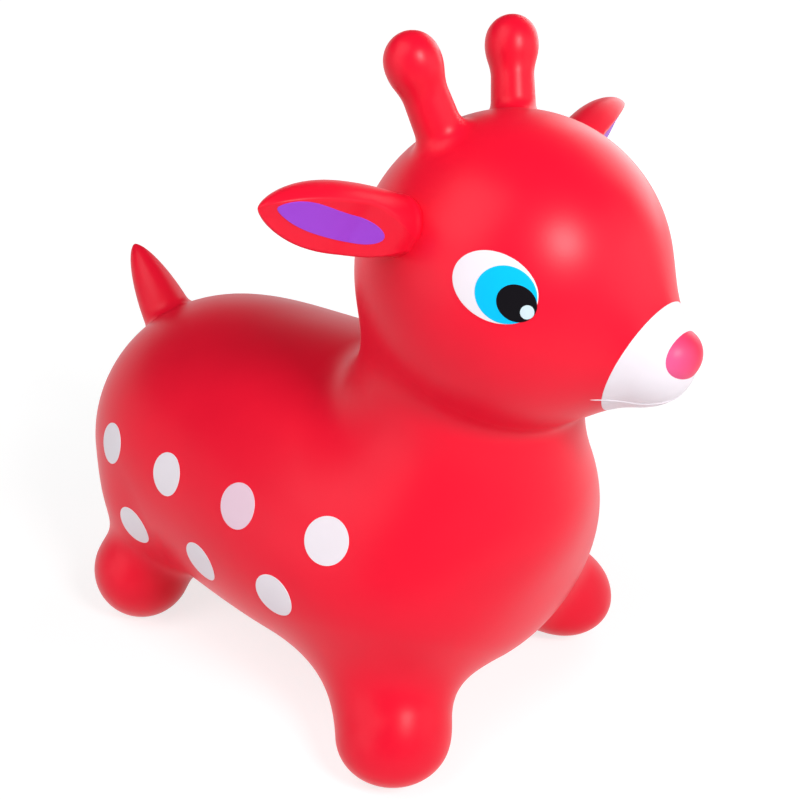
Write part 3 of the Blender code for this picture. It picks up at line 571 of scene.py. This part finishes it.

# %% [markdown]
# ## Legs
# Four short stubs with ball feet, cut flat where they stand. A ball set under a tube would have a hard waist,
# so ball, stalk and belly are joined as fields. Each leg is followed from the middle of its sole, up the side
# and out over the fillet to the belly.


# %% Legs
LEG_TOP, LEG_CORE = 0.115, (0.0358, 0.0248)
LEG_RIM, RIM_ABOVE, RIM_BELOW = 0.040, 0.02, 0.004
LEGS = {
    "front": dict(foot=(0.1388, 0.1166, 0.0315), ball=(0.0443, 0.0443), stalk=(0.0443, 0.0340),
                  lean=(0.0874, 0.0703), join=1e-4, edge=0.040, fillet=0.050),
    "rear": dict(foot=(-0.1726, 0.1140, 0.0446), ball=(0.0439, 0.0458), stalk=(0.0254, 0.0577),
                 lean=(-0.0176, 0.0343), join=0.014, edge=0.006, fillet=0.028),
}


def leg_field(p, foot, ball, stalk, lean, join, edge, **_):
    """A ball foot and a stalk that leans into the trunk, met by the floor with a rounded edge.
    Right and left legs are mirrored by |y|. The floor is lowered by what the rounding takes off the sole."""
    q = np.stack([p[..., 0], np.abs(p[..., 1]), p[..., 2]], axis=-1)
    low = np.array(foot)
    top = np.array([foot[0] - lean[0], foot[1] - lean[1], LEG_TOP])
    puff = np.linalg.norm((q - low) / np.array([1.0, 1.0, ball[1] / ball[0]]), axis=-1) - ball[0]
    body = soft_join(puff, round_cone(q, low, top, *stalk), join)
    rounding = max(edge - (ball[1] - foot[2]), 0.0) / edge
    return soft_meet(body, -q[..., 2] - rounding * rounding * edge / 4.0, edge)


def leg_skin(name, form, side):
    """The leg from its sole's middle, its inner end and axis, and where its fillet ends and its rim lies."""
    def own_field(p):
        return leg_field(p, **form)

    def stance_field(p):
        return soft_join(trunk_field(p), own_field(p), form["fillet"])

    out, wide, _ = form["foot"]
    sole = np.array([out, side * wide, 0.0])
    top = np.array([out - math.copysign(LEG_CORE[0], out), side * (wide - LEG_CORE[1]), LEG_TOP])
    axis = unit(sole - top)
    leg, border = branch(name, stance_field, own_field, form["fillet"], top, axis, sole, top,
                         rows=90, cols=96, step=0.0008, steps=330)
    return leg, top, axis, border, dot(sole - top, axis) - LEG_RIM


for end, form in LEGS.items():
    for tag, side in SIDES:
        leg, top, axis, border, rim = leg_skin(f"leg_skin_{end}_{tag}", form, side)
        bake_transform(leg)
        dress(leg, RED, "skin_red", f"leg_sleeve_{end}_{tag}", f"foot_{end}_{tag}")

# %% [markdown]
# ## Tail
# A tapered stub that leans back, with a small fillet where it leaves the rump. A cone would look stiff.
# A horn whose sides swell gives the full root and the blunt tip that air gives it.


# %% Tail
TAIL_FOOT, TAIL_TIP = np.array([-0.2395, 0.0, 0.2318]), np.array([-0.2895, 0.0, 0.3062])
TAIL_RADIUS, TAIL_ROUND, TAIL_TAPER, TAIL_SOFT = 0.0245, 1.6355, 1.7186, 0.012
TAIL_BEND, ROOT_INSET = 0.016, 0.02
TAIL_LENGTH, TAIL_WAY = np.linalg.norm(TAIL_TIP - TAIL_FOOT), unit(TAIL_TIP - TAIL_FOOT)


def tail_field(p):
    """A horn: (rho / R)^a + (along / length)^b = 1, over its slope to read as metres."""
    along = dot(p - TAIL_FOOT, TAIL_WAY)
    rho = np.linalg.norm(p - TAIL_FOOT - along[..., None] * TAIL_WAY, axis=-1)
    u = np.maximum(rho / TAIL_RADIUS, LEAST)
    s = np.maximum(along / TAIL_LENGTH, LEAST)
    steep = np.hypot(TAIL_ROUND * u ** (TAIL_ROUND - 1.0) / TAIL_RADIUS,
                     TAIL_TAPER * s ** (TAIL_TAPER - 1.0) / TAIL_LENGTH)
    return (u ** TAIL_ROUND + s ** TAIL_TAPER - 1.0) / np.maximum(steep, 1.0)


def rump_field(p):
    """Trunk and tail together."""
    return soft_join(trunk_field(p), tail_field(p), TAIL_SOFT)


tail, border = branch("tail_skin", rump_field, tail_field, TAIL_SOFT, TAIL_FOOT, TAIL_WAY, TAIL_TIP,
                      TAIL_FOOT - TAIL_WAY * ROOT_INSET, rows=80, cols=96, step=0.0007, steps=280)
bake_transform(tail)
dress(tail, RED, "skin_red", "tail_root", "tail")

# %% [markdown]
# ## Antlers
# Two stalks with ball ends that a child holds on to. Each grows out of the head's crown with a small fillet.
# Ball, stalk and head are joined as fields and followed from the ball's top, as the tail is.


# %% Antlers
ANTLER_FOOT, ANTLER_BALL = (0.1285, 0.0313, 0.440), (0.1067, 0.0531, 0.5182)
STALK_RADII, STALK_SHORT, BALL_RADIUS, ANTLER_SOFT = (0.0171, 0.0146), 0.012, 0.0184, 0.010
ANTLER_BEND_END, BALL_FAR = 0.058, 0.04


def antler_skin(name, foot, ball):
    """A stalk and its ball followed from the ball's top, with its axis and where its fillet ends."""
    axis = unit(ball - foot)

    def antler_field(p):
        stalk = round_cone(p, foot, ball - axis * STALK_SHORT, *STALK_RADII)
        return soft_join(stalk, np.linalg.norm(p - ball, axis=-1) - BALL_RADIUS, ANTLER_SOFT)

    def crown_field(p):
        return soft_join(head_field(p), antler_field(p), ANTLER_SOFT)

    tip = ball + axis * ray_hit(crown_field, ball, axis[None, :], BALL_FAR)[0]
    antler, border = branch(name, crown_field, antler_field, ANTLER_SOFT, foot, axis, tip,
                            foot - axis * ROOT_INSET, rows=90, cols=72, step=0.0006, steps=280)
    return antler, axis, border


for tag, side in SIDES:
    foot = mirrored(ANTLER_FOOT, side)
    antler, axis, border = antler_skin("antler_skin_" + tag, foot, mirrored(ANTLER_BALL, side))
    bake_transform(antler)
    dress(antler, RED, "skin_red", "antler_root_" + tag, "antler_" + tag)

# %% [markdown]
# ## Ear section
# Each ear is a leaf with a rounded back and a shallow dished face, on a round stem that plugs into the head.
# It could be a squashed cone with a hollow cut into it, but the cut would leave a knife edge. It is a closed
# section instead: round at the stem, and further out an arc with a flatter face whose rims are rolled.


# %% Ear section
EAR_RADIUS, EAR_FULL_AT, EAR_END, EAR_STEM_LESS, EAR_POINT = 0.0222, 0.40, 0.97, 0.17, (2.4, 0.75)
COLLAR_HIGH, COLLAR_AT, COLLAR_WIDE = 0.0011, 0.035, 0.020
EAR_CUT, EAR_DISH, EAR_STEM_CUT, EAR_OPENS_AT, EAR_OPENS = 0.45, 0.06, 0.97, 0.02, 0.40
EAR_ARC_COLS, EAR_FACE_COLS, EAR_ROUNDS = 120, 60, 9


def ear_radius(t):
    """Radius along the ear: a low collar at the head, fullest at two fifths, then a blunt point."""
    stem = 1.0 - EAR_STEM_LESS * np.maximum((EAR_FULL_AT - t) / EAR_FULL_AT, 0.0) ** 2
    far = np.clip((t - EAR_FULL_AT) / (EAR_END - EAR_FULL_AT), 0.0, 1.0)
    collar = COLLAR_HIGH * np.exp(-((t - COLLAR_AT) / COLLAR_WIDE) ** 2)
    return EAR_RADIUS * stem * (1.0 - far ** EAR_POINT[0]) ** EAR_POINT[1] + collar


def ear_face(t):
    """Height of the face's rim and depth of its dish, as shares of the radius."""
    leafy = ease((t - EAR_OPENS_AT) / EAR_OPENS)
    return EAR_STEM_CUT + (EAR_CUT - EAR_STEM_CUT) * leafy, EAR_DISH * leafy


def ear_section(t):
    """Closed outline: an arc round the back from rim to rim, then the dished face, a parabola between them.
    Each smoothing round averages a point with its two neighbours, which rounds the rims."""
    rim, dish = ear_face(t)
    start = np.arcsin(rim)
    turn = start - (math.pi + 2.0 * start) * np.linspace(0.0, 1.0, EAR_ARC_COLS)
    m = np.linspace(-1.0, 1.0, EAR_FACE_COLS + 2)[None, 1:-1]
    across, out = m * np.sqrt(1.0 - rim * rim), rim - dish * (1.0 - m * m)
    section = np.stack([np.concatenate([np.cos(turn), across], axis=1),
                        np.concatenate([np.sin(turn), out], axis=1)], axis=-1)
    for _ in range(EAR_ROUNDS):
        section = 0.5 * section + 0.25 * (np.roll(section, 1, axis=1) + np.roll(section, -1, axis=1))
    return section[..., 0], section[..., 1]


print("ear section of", ear_section(np.array([[EAR_FULL_AT]]))[0].shape[1], "points")

# %% [markdown]
# ## Ears
# The section is carried along the ear's axis. Its rows crowd to the tip, where the outline turns fastest.
# The stem's first rows lie inside the head.


# %% Ears
EAR_ROOT, EAR_TIP, EAR_FACE = (0.128, 0.088, 0.424), (0.1146, 0.199, 0.458), np.array([0.883, 0.0, -0.469])
EAR_TURN, EAR_BEND = {"right": 0.0, "left": -4.0}, (0.006, 0.034)
EAR_PLUG, EAR_STEM_ROW, EAR_CROWD_AT = (-0.20, -0.199), -0.15, 0.86


def ear_axes(tag, side):
    """Root, way along the ear, way out of its face, way across it, and its length."""
    root, tip = mirrored(EAR_ROOT, side), mirrored(EAR_TIP, side)
    way = unit(tip - root)
    face = unit(EAR_FACE - way * dot(EAR_FACE, way))
    wide = np.cross(way, face) * -side
    c, s = math.cos(math.radians(EAR_TURN[tag])), math.sin(math.radians(EAR_TURN[tag]))
    return root, way, face * c + wide * s, wide * c - face * s, np.linalg.norm(tip - root)


def ear_skin(root, way, face, wide, span):
    """The section carried along the ear, scaled by its radius, and drawn to a point inside the head."""
    crowd = np.linspace(1.0, 0.0, 22)[1:] ** 2
    t = np.concatenate([EAR_PLUG, np.linspace(EAR_STEM_ROW, EAR_CROWD_AT, 80),
                        EAR_END - (EAR_END - EAR_CROWD_AT) * crowd])
    across, out = ear_section(t[:, None])
    radius = ear_radius(t)[:, None, None]
    leaf = wide * across[..., None] + face * out[..., None]
    grid = root + way * (span * t)[:, None, None] + radius * leaf
    grid[0] = grid[0].mean(axis=0)
    return grid


EARS = {tag: ear_axes(tag, side) for tag, side in SIDES}
for tag, (root, way, face, wide, span) in EARS.items():
    ear = make_piece("ear_skin_" + tag, ear_skin(root, way, face, wide, span))
    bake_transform(ear)
    dress(ear, RED, "skin_red", "ear_root_" + tag, "ear_" + tag)

# %% [markdown]
# ## Paint
# The eyes, muzzle, spots and ear linings are sprayed on through stencils: a very thin coat with a soft edge.
# A colour mask in the skin's material could not ride as its own piece. Each coat is a disc in polar form,
# laid a fifth of a millimetre or more over the skin, with its rim rolled under.


# %% Paint discs
PAINT_LIFT, RIM_SINK, COAT_SINK = 0.0002, -0.0004, -0.0007
COAT_FLAT, COAT_RIM, COAT_RIM_LIFT = 0.985, (0.994, 1.0, 1.0), (0.8, 0.3)
COAT_BACK, BACK_ROWS = 0.98, 9


def disc(rows, cols, lift):
    """Polar coat: out from the middle at the lift, over a rolled rim, and back under the skin."""
    q = np.concatenate([np.linspace(0.0, COAT_FLAT, rows), COAT_RIM, np.linspace(COAT_BACK, 0.0, BACK_ROWS)])
    rim = [lift * COAT_RIM_LIFT[0], lift * COAT_RIM_LIFT[1], RIM_SINK]
    high = np.concatenate([np.full(rows, lift), rim, np.full(BACK_ROWS, COAT_SINK)])
    turn = full_turn(cols)
    return q[:, None] * np.cos(turn), q[:, None] * np.sin(turn), high[:, None]


def coat(name, field, place, lift, cols=96, rows=26):
    """place(u, v) puts a disc's unit circle near the skin; its points are then settled on the skin."""
    u, v, high = disc(rows, cols, lift)
    skin = settle(field, place(u, v))
    return make_piece(name, skin + unit(slope(field, skin)) * high[..., None])


print("a coat is", 1e6 * PAINT_LIFT, "micrometres thick")

# %% [markdown]
# ## Spots
# Seven white spots lie on each flank in two staggered rows. The outermost ones run onto the fillets of neck
# and legs, so they are settled on a field that holds those too. The third spot's paint is thin, and red
# shows through it.


# %% Spots
SPOT_RADIUS, THIN_SPOT = 0.0178, 3
UPPER_ROW = ((-0.166, 15.3), (-0.078, 18.4), (0.0105, 22.4), (0.095, 25.5))
LOWER_ROW = ((-0.132, -13.8), (-0.0315, -7.7), (0.0565, -2.4))
WHITE = finish_of("white_paint", (0.86, 0.80, 0.86), 0.42)
THIN = finish_of("thin_white_paint", (0.86, 0.62, 0.74), 0.42)


def flank_field(p):
    """Trunk with the fillets of its neck and legs."""
    skin = shoulder_field(p)
    for form in LEGS.values():
        skin = soft_join(skin, leg_field(p, **form), form["fillet"])
    return skin


def spot_place(side, x, degrees):
    """A round spot at x along the trunk and an angle above its axis: u runs along it, v round it."""
    angle = math.radians(degrees)
    w, h, c = trunk_sizes(x)
    full = trunk_full(trunk_share(x)[0])
    centre = np.array([x, side * w * full * math.cos(angle), c + h * full * math.sin(angle)])
    out = unit(slope(trunk_field, centre[None])[0])
    along = unit(FORE - out * out[0])
    round_way = np.cross(out, along)
    return lambda u, v: centre + SPOT_RADIUS * (u[..., None] * along + v[..., None] * round_way)


for tag, side in SIDES:
    for number, (x, degrees) in enumerate(UPPER_ROW + LOWER_ROW, 1):
        spot = coat(f"spot_paint_{tag}_{number}", flank_field, spot_place(side, x, degrees), PAINT_LIFT)
        paint = THIN if number == THIN_SPOT else WHITE
        dress(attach(spot, "trunk"), paint, "paint_white", f"spot_{tag}_{number}")

# %% [markdown]
# ## Eyes
# Each eye is four coats on top of each other: white, cyan, black and a small pale glint. One disc with rings
# of colour could not do that, because the ellipses don't share a middle.


# %% Eyes
EYE_LAYER = 0.00015
CYAN = finish_of("cyan_paint", (0.001, 0.53, 0.90), 0.42, sheen=0.12)
BLACK = finish_of("black_paint", (0.005, 0.004, 0.006), 0.40, sheen=0.06)
GLINT = finish_of("glint_paint", (0.62, 0.76, 0.82), 0.42)
# Yaw, pitch and lean in degrees, half length and half height, finish and slot.
EYE = {
    "white": (61.6, 13.9, 16.3, (0.0285, 0.0209), WHITE, "paint_white"),
    "iris": (57.9, 11.8, 14.8, (0.0197, 0.0176), CYAN, "paint_cyan"),
    "pupil": (54.35, 9.35, 22.7, (0.0130, 0.0111), BLACK, "paint_black"),
    "glint": (50.95, 6.7, 0.0, (0.0044, 0.0044), GLINT, "paint_white"),
}


def eye_place(side, yaw, pitch, lean, half):
    """An ellipse on the head: yaw and pitch aim it, lean tips its length down to the nose."""
    yaw, pitch, lean = math.radians(yaw), math.radians(pitch), math.radians(lean)
    out = np.array([math.cos(pitch) * math.cos(yaw), side * math.cos(pitch) * math.sin(yaw), math.sin(pitch)])
    fore = unit(FORE - out * out[0])
    up = np.cross(out, fore)
    up = up * np.sign(up[2])
    long_way = fore * math.cos(lean) - up * math.sin(lean)
    high_way = fore * math.sin(lean) + up * math.cos(lean)

    def place(u, v):
        shift = long_way * (half[0] * u)[..., None] + high_way * (half[1] * v)[..., None]
        return HEAD_CENTRE + unit(out + shift / HEAD_RADIUS) * HEAD_RADIUS * HEAD_SHAPE

    return place


for tag, side in SIDES:
    for level, (part, (yaw, pitch, lean, half, paint, slot_name)) in enumerate(EYE.items()):
        place = eye_place(side, yaw, pitch, lean, half)
        layer = coat(f"eye_{part}_paint_{tag}", head_field, place, PAINT_LIFT + EYE_LAYER * level)
        dress(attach(layer, "head"), paint, slot_name, f"eye_{part}_{tag}")

# %% [markdown]
# ## Muzzle
# The snout's end is sprayed white up to a round edge. It is a cap at one angle off an axis all the way round.
# The axis aims a little lower than the snout, so the white reaches further back under the chin.


# %% Muzzle
MUZZLE_ANGLE, MUZZLE_DROP = 21.0, 18.0


def muzzle_place(u, v):
    """The unit circle is the muzzle's angle off its own axis; each ray goes out to the head's skin."""
    way, up = aimed(MUZZLE_DROP)
    reach = (np.hypot(u, v) * math.radians(MUZZLE_ANGLE))[..., None]
    turn = np.arctan2(v, u)[..., None]
    ring = up * np.cos(turn) + LEFT * np.sin(turn)
    ray = (way * np.cos(reach) + ring * np.sin(reach)) * HEAD_SHAPE
    return HEAD_CENTRE + ray * ray_hit(head_field, HEAD_CENTRE, ray, HEAD_FAR)[..., None]


muzzle = coat("muzzle_paint", head_field, muzzle_place, PAINT_LIFT, cols=128, rows=44)
dress(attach(muzzle, "head"), WHITE, "paint_white", "muzzle_coat")

# %% [markdown]
# ## Nose
# The nose is a flattened ball on the snout's tip. Its pink is painted pale on the animal's right, the side
# that faces the lamps, and drifts to a deep red pink across it: painted light and shade. Two pieces would
# show a border, so one colour is mixed into the other along y.


# %% Nose
NOSE_CENTRE, NOSE_DROP = np.array([0.2772, 0.0, 0.3472]), 8.0
NOSE_DEEP, NOSE_WIDE, NOSE_HIGH = 0.0178, 0.0218, 0.0185
# Painted light and shade: the pale pink stands for the nose's lamp-lit side, the deep pink for its shaded
# side.
PAINTED_LIT_PINK, PAINTED_SHADE_PINK, PAINTED_SHADE_FROM, PAINTED_SHADE_TO = (0.84, 0.110, 0.300), (0.86, 0.018, 0.080), -0.021, 0.001


def shaded(material, other, low, high):
    """Paint light and shade into a finish: its colour drifts to a shade colour across the object, from y =
    low to y = high.
    """
    tree = material.node_tree
    group = next(n for n in tree.nodes if n.type == "GROUP")
    place = tree.nodes.new("ShaderNodeTexCoord")
    axes = tree.nodes.new("ShaderNodeSeparateXYZ")
    shade_ramp = mapped(tree, 0.0, 1.0, low, high)
    mix = tree.nodes.new("ShaderNodeMix")
    mix.data_type = "RGBA"
    mix.inputs["A"].default_value = group.inputs["Colour"].default_value
    mix.inputs["B"].default_value = (*other, 1.0)
    wire(tree,
         (place, "Object", axes, "Vector"), (axes, "Y", shade_ramp, "Value"),
         (shade_ramp, "Result", mix, "Factor"), (mix, "Result", group, "Colour"))
    return material


def nose_skin(rows, cols):
    """A flattened ball: its axis drops a little, shorter along that axis than across it."""
    way, up = aimed(NOSE_DROP)
    fall = np.linspace(0.0, math.pi, rows)[:, None, None]
    turn = full_turn(cols)[None, :, None]
    ring = up * np.cos(turn) * NOSE_HIGH + LEFT * np.sin(turn) * NOSE_WIDE
    return NOSE_CENTRE + way * np.cos(fall) * NOSE_DEEP + ring * np.sin(fall)


# The nose's pink is painted lighter on its lamp side and darker away from it.
PINK_WITH_PAINTED_SHADE = shaded(finish_of("pink_paint_painted_shade", PAINTED_LIT_PINK, 0.42), PAINTED_SHADE_PINK, PAINTED_SHADE_FROM, PAINTED_SHADE_TO)
nose = make_piece("nose_bump", nose_skin(rows=60, cols=80))
dress(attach(nose, "head"), PINK_WITH_PAINTED_SHADE, "paint_pink", "nose")

# %% [markdown]
# ## Mouth
# The mouth is a fine raised line in the moulding that runs round the snout from corner to corner.
# A bump map would not show in the outline, so it is a thin round section carried along a path on the skin.


# %% Mouth
MOUTH_RADIUS, MOUTH_HALF, MOUTH_ROUNDS, MOUTH_POINT = 0.0007, 0.0400, 60, 1e-5
# Share of the half width from the middle to a corner, with x and z there.
MOUTH_LINE = ((0.0, 0.286, 0.321), (0.31, 0.2793, 0.3198), (0.5725, 0.2639, 0.3182),
              (0.9725, 0.244, 0.3201), (1.0, 0.243, 0.3203))


def mouth_path(count):
    """The line through its few stations, smoothed by averaging neighbours, then settled on the head."""
    share = np.linspace(-1.0, 1.0, count)
    at, x, z = zip(*MOUTH_LINE)
    path = np.stack([np.interp(np.abs(share), at, x), MOUTH_HALF * share,
                     np.interp(np.abs(share), at, z)], axis=-1)
    for _ in range(MOUTH_ROUNDS):
        path[1:-1] = 0.5 * path[1:-1] + 0.25 * (path[2:] + path[:-2])
    return settle(head_field, path), MOUTH_RADIUS * (1.0 - share ** 6) ** 0.5 + MOUTH_POINT


def tube(path, radius, cols):
    """A round section carried along a path; its size at each point is given, so the ends can taper."""
    way = unit(np.gradient(path, axis=0))
    first = unit(np.cross(way, UP))
    second = np.cross(way, first)
    turn = full_turn(cols)[None, :, None]
    ring = first[:, None] * np.cos(turn) + second[:, None] * np.sin(turn)
    return path[:, None] + radius[:, None, None] * ring


ridge = make_piece("mouth_ridge", tube(*mouth_path(181), cols=16))
dress(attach(ridge, "head"), WHITE, "paint_white")

# %% [markdown]
# ## Ear linings
# The inside of each ear is painted purple, in a leaf that lies low at the root and nears the upper rim at
# the tip. It is the same polar disc as the other paints, but laid on the ear's own section, because the ear
# has no field to settle on.


# %% Ear linings
LINING_LIFT, LINING_MID, LINING_REACH, LAST_COLUMN = 0.0003, 0.556, 0.334, 1.001
# Middle line and half width on the face, each a curve a + b * u + c * u * u along the lining.
LINING_LINE = {"right": (0.06, 0.30, 0.16), "left": (-0.25, 0.10, 0.14)}
LINING_HALF = {"right": (0.50, 0.14, 0.40), "left": (0.70, 0.00, 0.20)}
PURPLE = finish_of("purple_paint", (0.34, 0.052, 0.68), 0.45)


def on_face(t, m):
    """Across and out on the smoothed face, read between the section's own columns."""
    section = np.stack(ear_section(t.reshape(-1, 1)), axis=-1)[:, EAR_ARC_COLS:]
    place = (m.reshape(-1) + 1.0) / 2.0 * (EAR_FACE_COLS + 1) - 1.0
    place = np.clip(place, 0.0, EAR_FACE_COLS - LAST_COLUMN)
    low, rows = place.astype(int), np.arange(len(place))
    part = (place - low)[:, None]
    found = section[rows, low] * (1.0 - part) + section[rows, low + 1] * part
    return found[:, 0].reshape(t.shape), found[:, 1].reshape(t.shape)


def lining_skin(tag, rows, cols):
    """The disc's u runs along the ear, and v between the middle line less and plus the half width."""
    root, way, face, wide, span = EARS[tag]
    u, v, high = disc(rows, cols, LINING_LIFT)
    line, half = (a + b * u + c * u * u for a, b, c in (LINING_LINE[tag], LINING_HALF[tag]))
    t = LINING_MID + LINING_REACH * u
    across, out = on_face(t, line + half * v)
    radius = ear_radius(t)
    along = root + way * (span * t)[..., None]
    return along + wide * (radius * across)[..., None] + face * (radius * out + high)[..., None]


for tag, _ in SIDES:
    lining = make_piece("ear_paint_" + tag, lining_skin(tag, rows=30, cols=112))
    dress(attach(lining, tag + "_ear"), PURPLE, "paint_purple", "ear_lining_" + tag)

# %% [markdown]
# ## Air valve
# The plug under the belly is what the animal is blown up through. It is hard and turned, so the frame's own
# solids have the right shape. They stay, and get a pale plastic finish.

# %% Valve
PALE = finish_of("valve_plastic", (0.80, 0.79, 0.76), 0.38)
for name in ("valve_seat", "valve_plug"):
    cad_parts[name].data.materials.clear()
    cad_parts[name].data.materials.append(PALE)
    print(name, "keeps its solid, in", PALE.name)

# %% [markdown]
# ## Floor
# The floor is white paper, flat where the animal stands. A flat sheet would end in a dark horizon in low
# views, so it is eased up like a studio's sweep.

# %% Floor sweep
scene = bpy.context.scene
scene.view_settings.view_transform = "Standard"
FLOOR_FLAT, FLOOR_EDGE, FLOOR_RISE, FLOOR_CORE = 6.0, 14.0, 5.2, 0.5


def floor_sweep(rows, cols):
    """A round floor: flat in the middle, then eased up to its edge."""
    r = np.concatenate([[FLOOR_CORE], np.linspace(FLOOR_FLAT, FLOOR_EDGE, rows)])[:, None]
    turn = full_turn(cols)
    z = FLOOR_RISE * ease((r - FLOOR_FLAT) / (FLOOR_EDGE - FLOOR_FLAT))
    return np.stack([r * np.cos(turn), r * np.sin(turn), z + 0.0 * turn], axis=-1)


rings = floor_sweep(rows=24, cols=96)
index = np.arange(rings.shape[0] * rings.shape[1]).reshape(rings.shape[:2])
ahead = np.roll(index, -1, axis=1)
quads = np.stack([index[:-1], index[1:], ahead[1:], ahead[:-1]], axis=-1).reshape(-1, 4)
floor = mesh_object("floor", rings.reshape(-1, 3), [index[0].tolist()] + quads.tolist())
print("floor", len(floor.data.polygons), "faces")

# %% [markdown]
# ## Paper
# Lamps strong enough to turn the paper white would bleach the object. So where the paper is seen, straight or
# in a reflection, it adds a glow that grows away from the object. Close by it still darkens where the object
# shades it.


# %% Floor paper
PAPER_LIGHT, PAPER_SEEN, PAPER_ROUGH = 0.90, 0.35, 0.9
GLOW_NEAR, GLOW_FAR, GLOW_FROM, GLOW_TO = 0.76, 1.0, 0.3, 2.0


def paper_look():
    """White paper for light that bounces off it; for rays that see it, a darker paper with a glow added."""
    material = bpy.data.materials.new("pale_floor")
    material.use_nodes = True
    tree = material.node_tree
    shader = tree.nodes["Principled BSDF"]
    shader.inputs["Roughness"].default_value = PAPER_ROUGH
    ray = tree.nodes.new("ShaderNodeLightPath")
    seen = (ray, "Is Camera Ray")
    for kind in ("Is Glossy Ray", "Is Transmission Ray"):
        larger = tree.nodes.new("ShaderNodeMath")
        larger.operation = "MAXIMUM"
        wire(tree, (*seen, larger, 0), (ray, kind, larger, 1))
        seen = (larger, "Value")
    paper = mapped(tree, PAPER_LIGHT, PAPER_SEEN)
    place = tree.nodes.new("ShaderNodeTexCoord")
    away = tree.nodes.new("ShaderNodeVectorMath")
    away.operation = "LENGTH"
    pale = mapped(tree, GLOW_NEAR, GLOW_FAR, GLOW_FROM, GLOW_TO)
    glow = tree.nodes.new("ShaderNodeEmission")
    none = node(tree, "ShaderNodeEmission", Strength=0.0)
    pick = tree.nodes.new("ShaderNodeMixShader")
    both = tree.nodes.new("ShaderNodeAddShader")
    wire(tree,
         (*seen, paper, "Value"), (paper, "Result", shader, "Base Color"),
         (place, "Object", away, 0), (away, "Value", pale, "Value"),
         (pale, "Result", glow, "Strength"), (*seen, pick, "Fac"),
         (none, "Emission", pick, 1), (glow, "Emission", pick, 2),
         (pick, "Shader", both, 0), (shader, "BSDF", both, 1),
         (both, "Shader", tree.nodes["Material Output"], "Surface"))
    return material


floor.data.materials.append(paper_look())
print("floor paper", PAPER_LIGHT, "for light,", PAPER_SEEN, "with a glow of", GLOW_NEAR, "where it is seen")

# %% [markdown]
# ## Light
# Five lamps surround the animal. A small one high in front makes the round highlights. Broad soft ones light
# the face, the back, the flank and the far side, and a faint world fills the rest. One big lamp would be
# simpler, but the lower spots would turn grey.


# %% Lamps
WORLD_FILL, LAMP_AIM = 0.07, np.array([0.0, 0.0, 0.27])
# Place, size in metres and watts.
LAMPS = {
    "sheen": ((1.113, -0.333, 1.060), 0.34, 11.5),
    "front": ((1.507, 0.609, 0.767), 1.2, 5.0),
    "side": ((-0.182, -1.031, 1.610), 1.2, 11.0),
    "flank": ((-0.475, -1.773, 0.762), 1.4, 8.0),
    "far": ((0.055, 1.575, 0.907), 1.2, 10.0),
}


def placed(right, up, back_way, place):
    """The matrix of a camera or lamp that looks against back_way."""
    turned = np.stack([right, up, back_way], axis=1).tolist()
    return Matrix([[*row, p] for row, p in zip(turned, place)] + [[0.0, 0.0, 0.0, 1.0]])


def soft_lamp(name, place, size, watts):
    """A square area lamp that faces the animal's middle."""
    data = bpy.data.lights.new(name, "AREA")
    data.energy, data.size = watts, size
    lamp = bpy.data.objects.new(name, data)
    scene.collection.objects.link(lamp)
    back_way = unit(np.array(place) - LAMP_AIM)
    right = unit(np.cross(UP, back_way))
    lamp.matrix_world = placed(right, np.cross(back_way, right), back_way, place)


for name, (place, size, watts) in LAMPS.items():
    soft_lamp(name, place, size, watts)
world = bpy.data.worlds.new("studio")
scene.world = world
world.use_nodes = True
world.node_tree.nodes["Background"].inputs["Color"].default_value = (1.0, 1.0, 1.0, 1.0)
world.node_tree.nodes["Background"].inputs["Strength"].default_value = WORLD_FILL
print(len(LAMPS), "lamps,", sum(watts for _, _, watts in LAMPS.values()), "W in all")

# %% [markdown]
# ## Camera
# The camera stands in front of the animal's right shoulder and looks down on it by about 26 degrees, as the
# photograph does. Its place and its three axes were fitted to the photograph's outline.

# %% Camera
LENS, SENSOR = 48.47, 36.0
CAMERA_AT = (0.5578, -0.5848, 0.6225)
CAMERA_RIGHT, CAMERA_UP = np.array([0.7563, 0.6542, -0.0091]), np.array([-0.2804, 0.3367, 0.8989])
CAMERA_AHEAD = np.array([-0.5911, 0.6773, -0.438])
camera_data = bpy.data.cameras.new("camera")
camera_data.lens, camera_data.sensor_width = LENS, SENSOR
camera = bpy.data.objects.new("camera", camera_data)
scene.collection.objects.link(camera)
camera.matrix_world = placed(CAMERA_RIGHT, CAMERA_UP, -CAMERA_AHEAD, CAMERA_AT)
scene.camera = camera
print("camera", round(float(np.linalg.norm(np.array(CAMERA_AT) - LAMP_AIM)), 3), "m from the animal's middle")
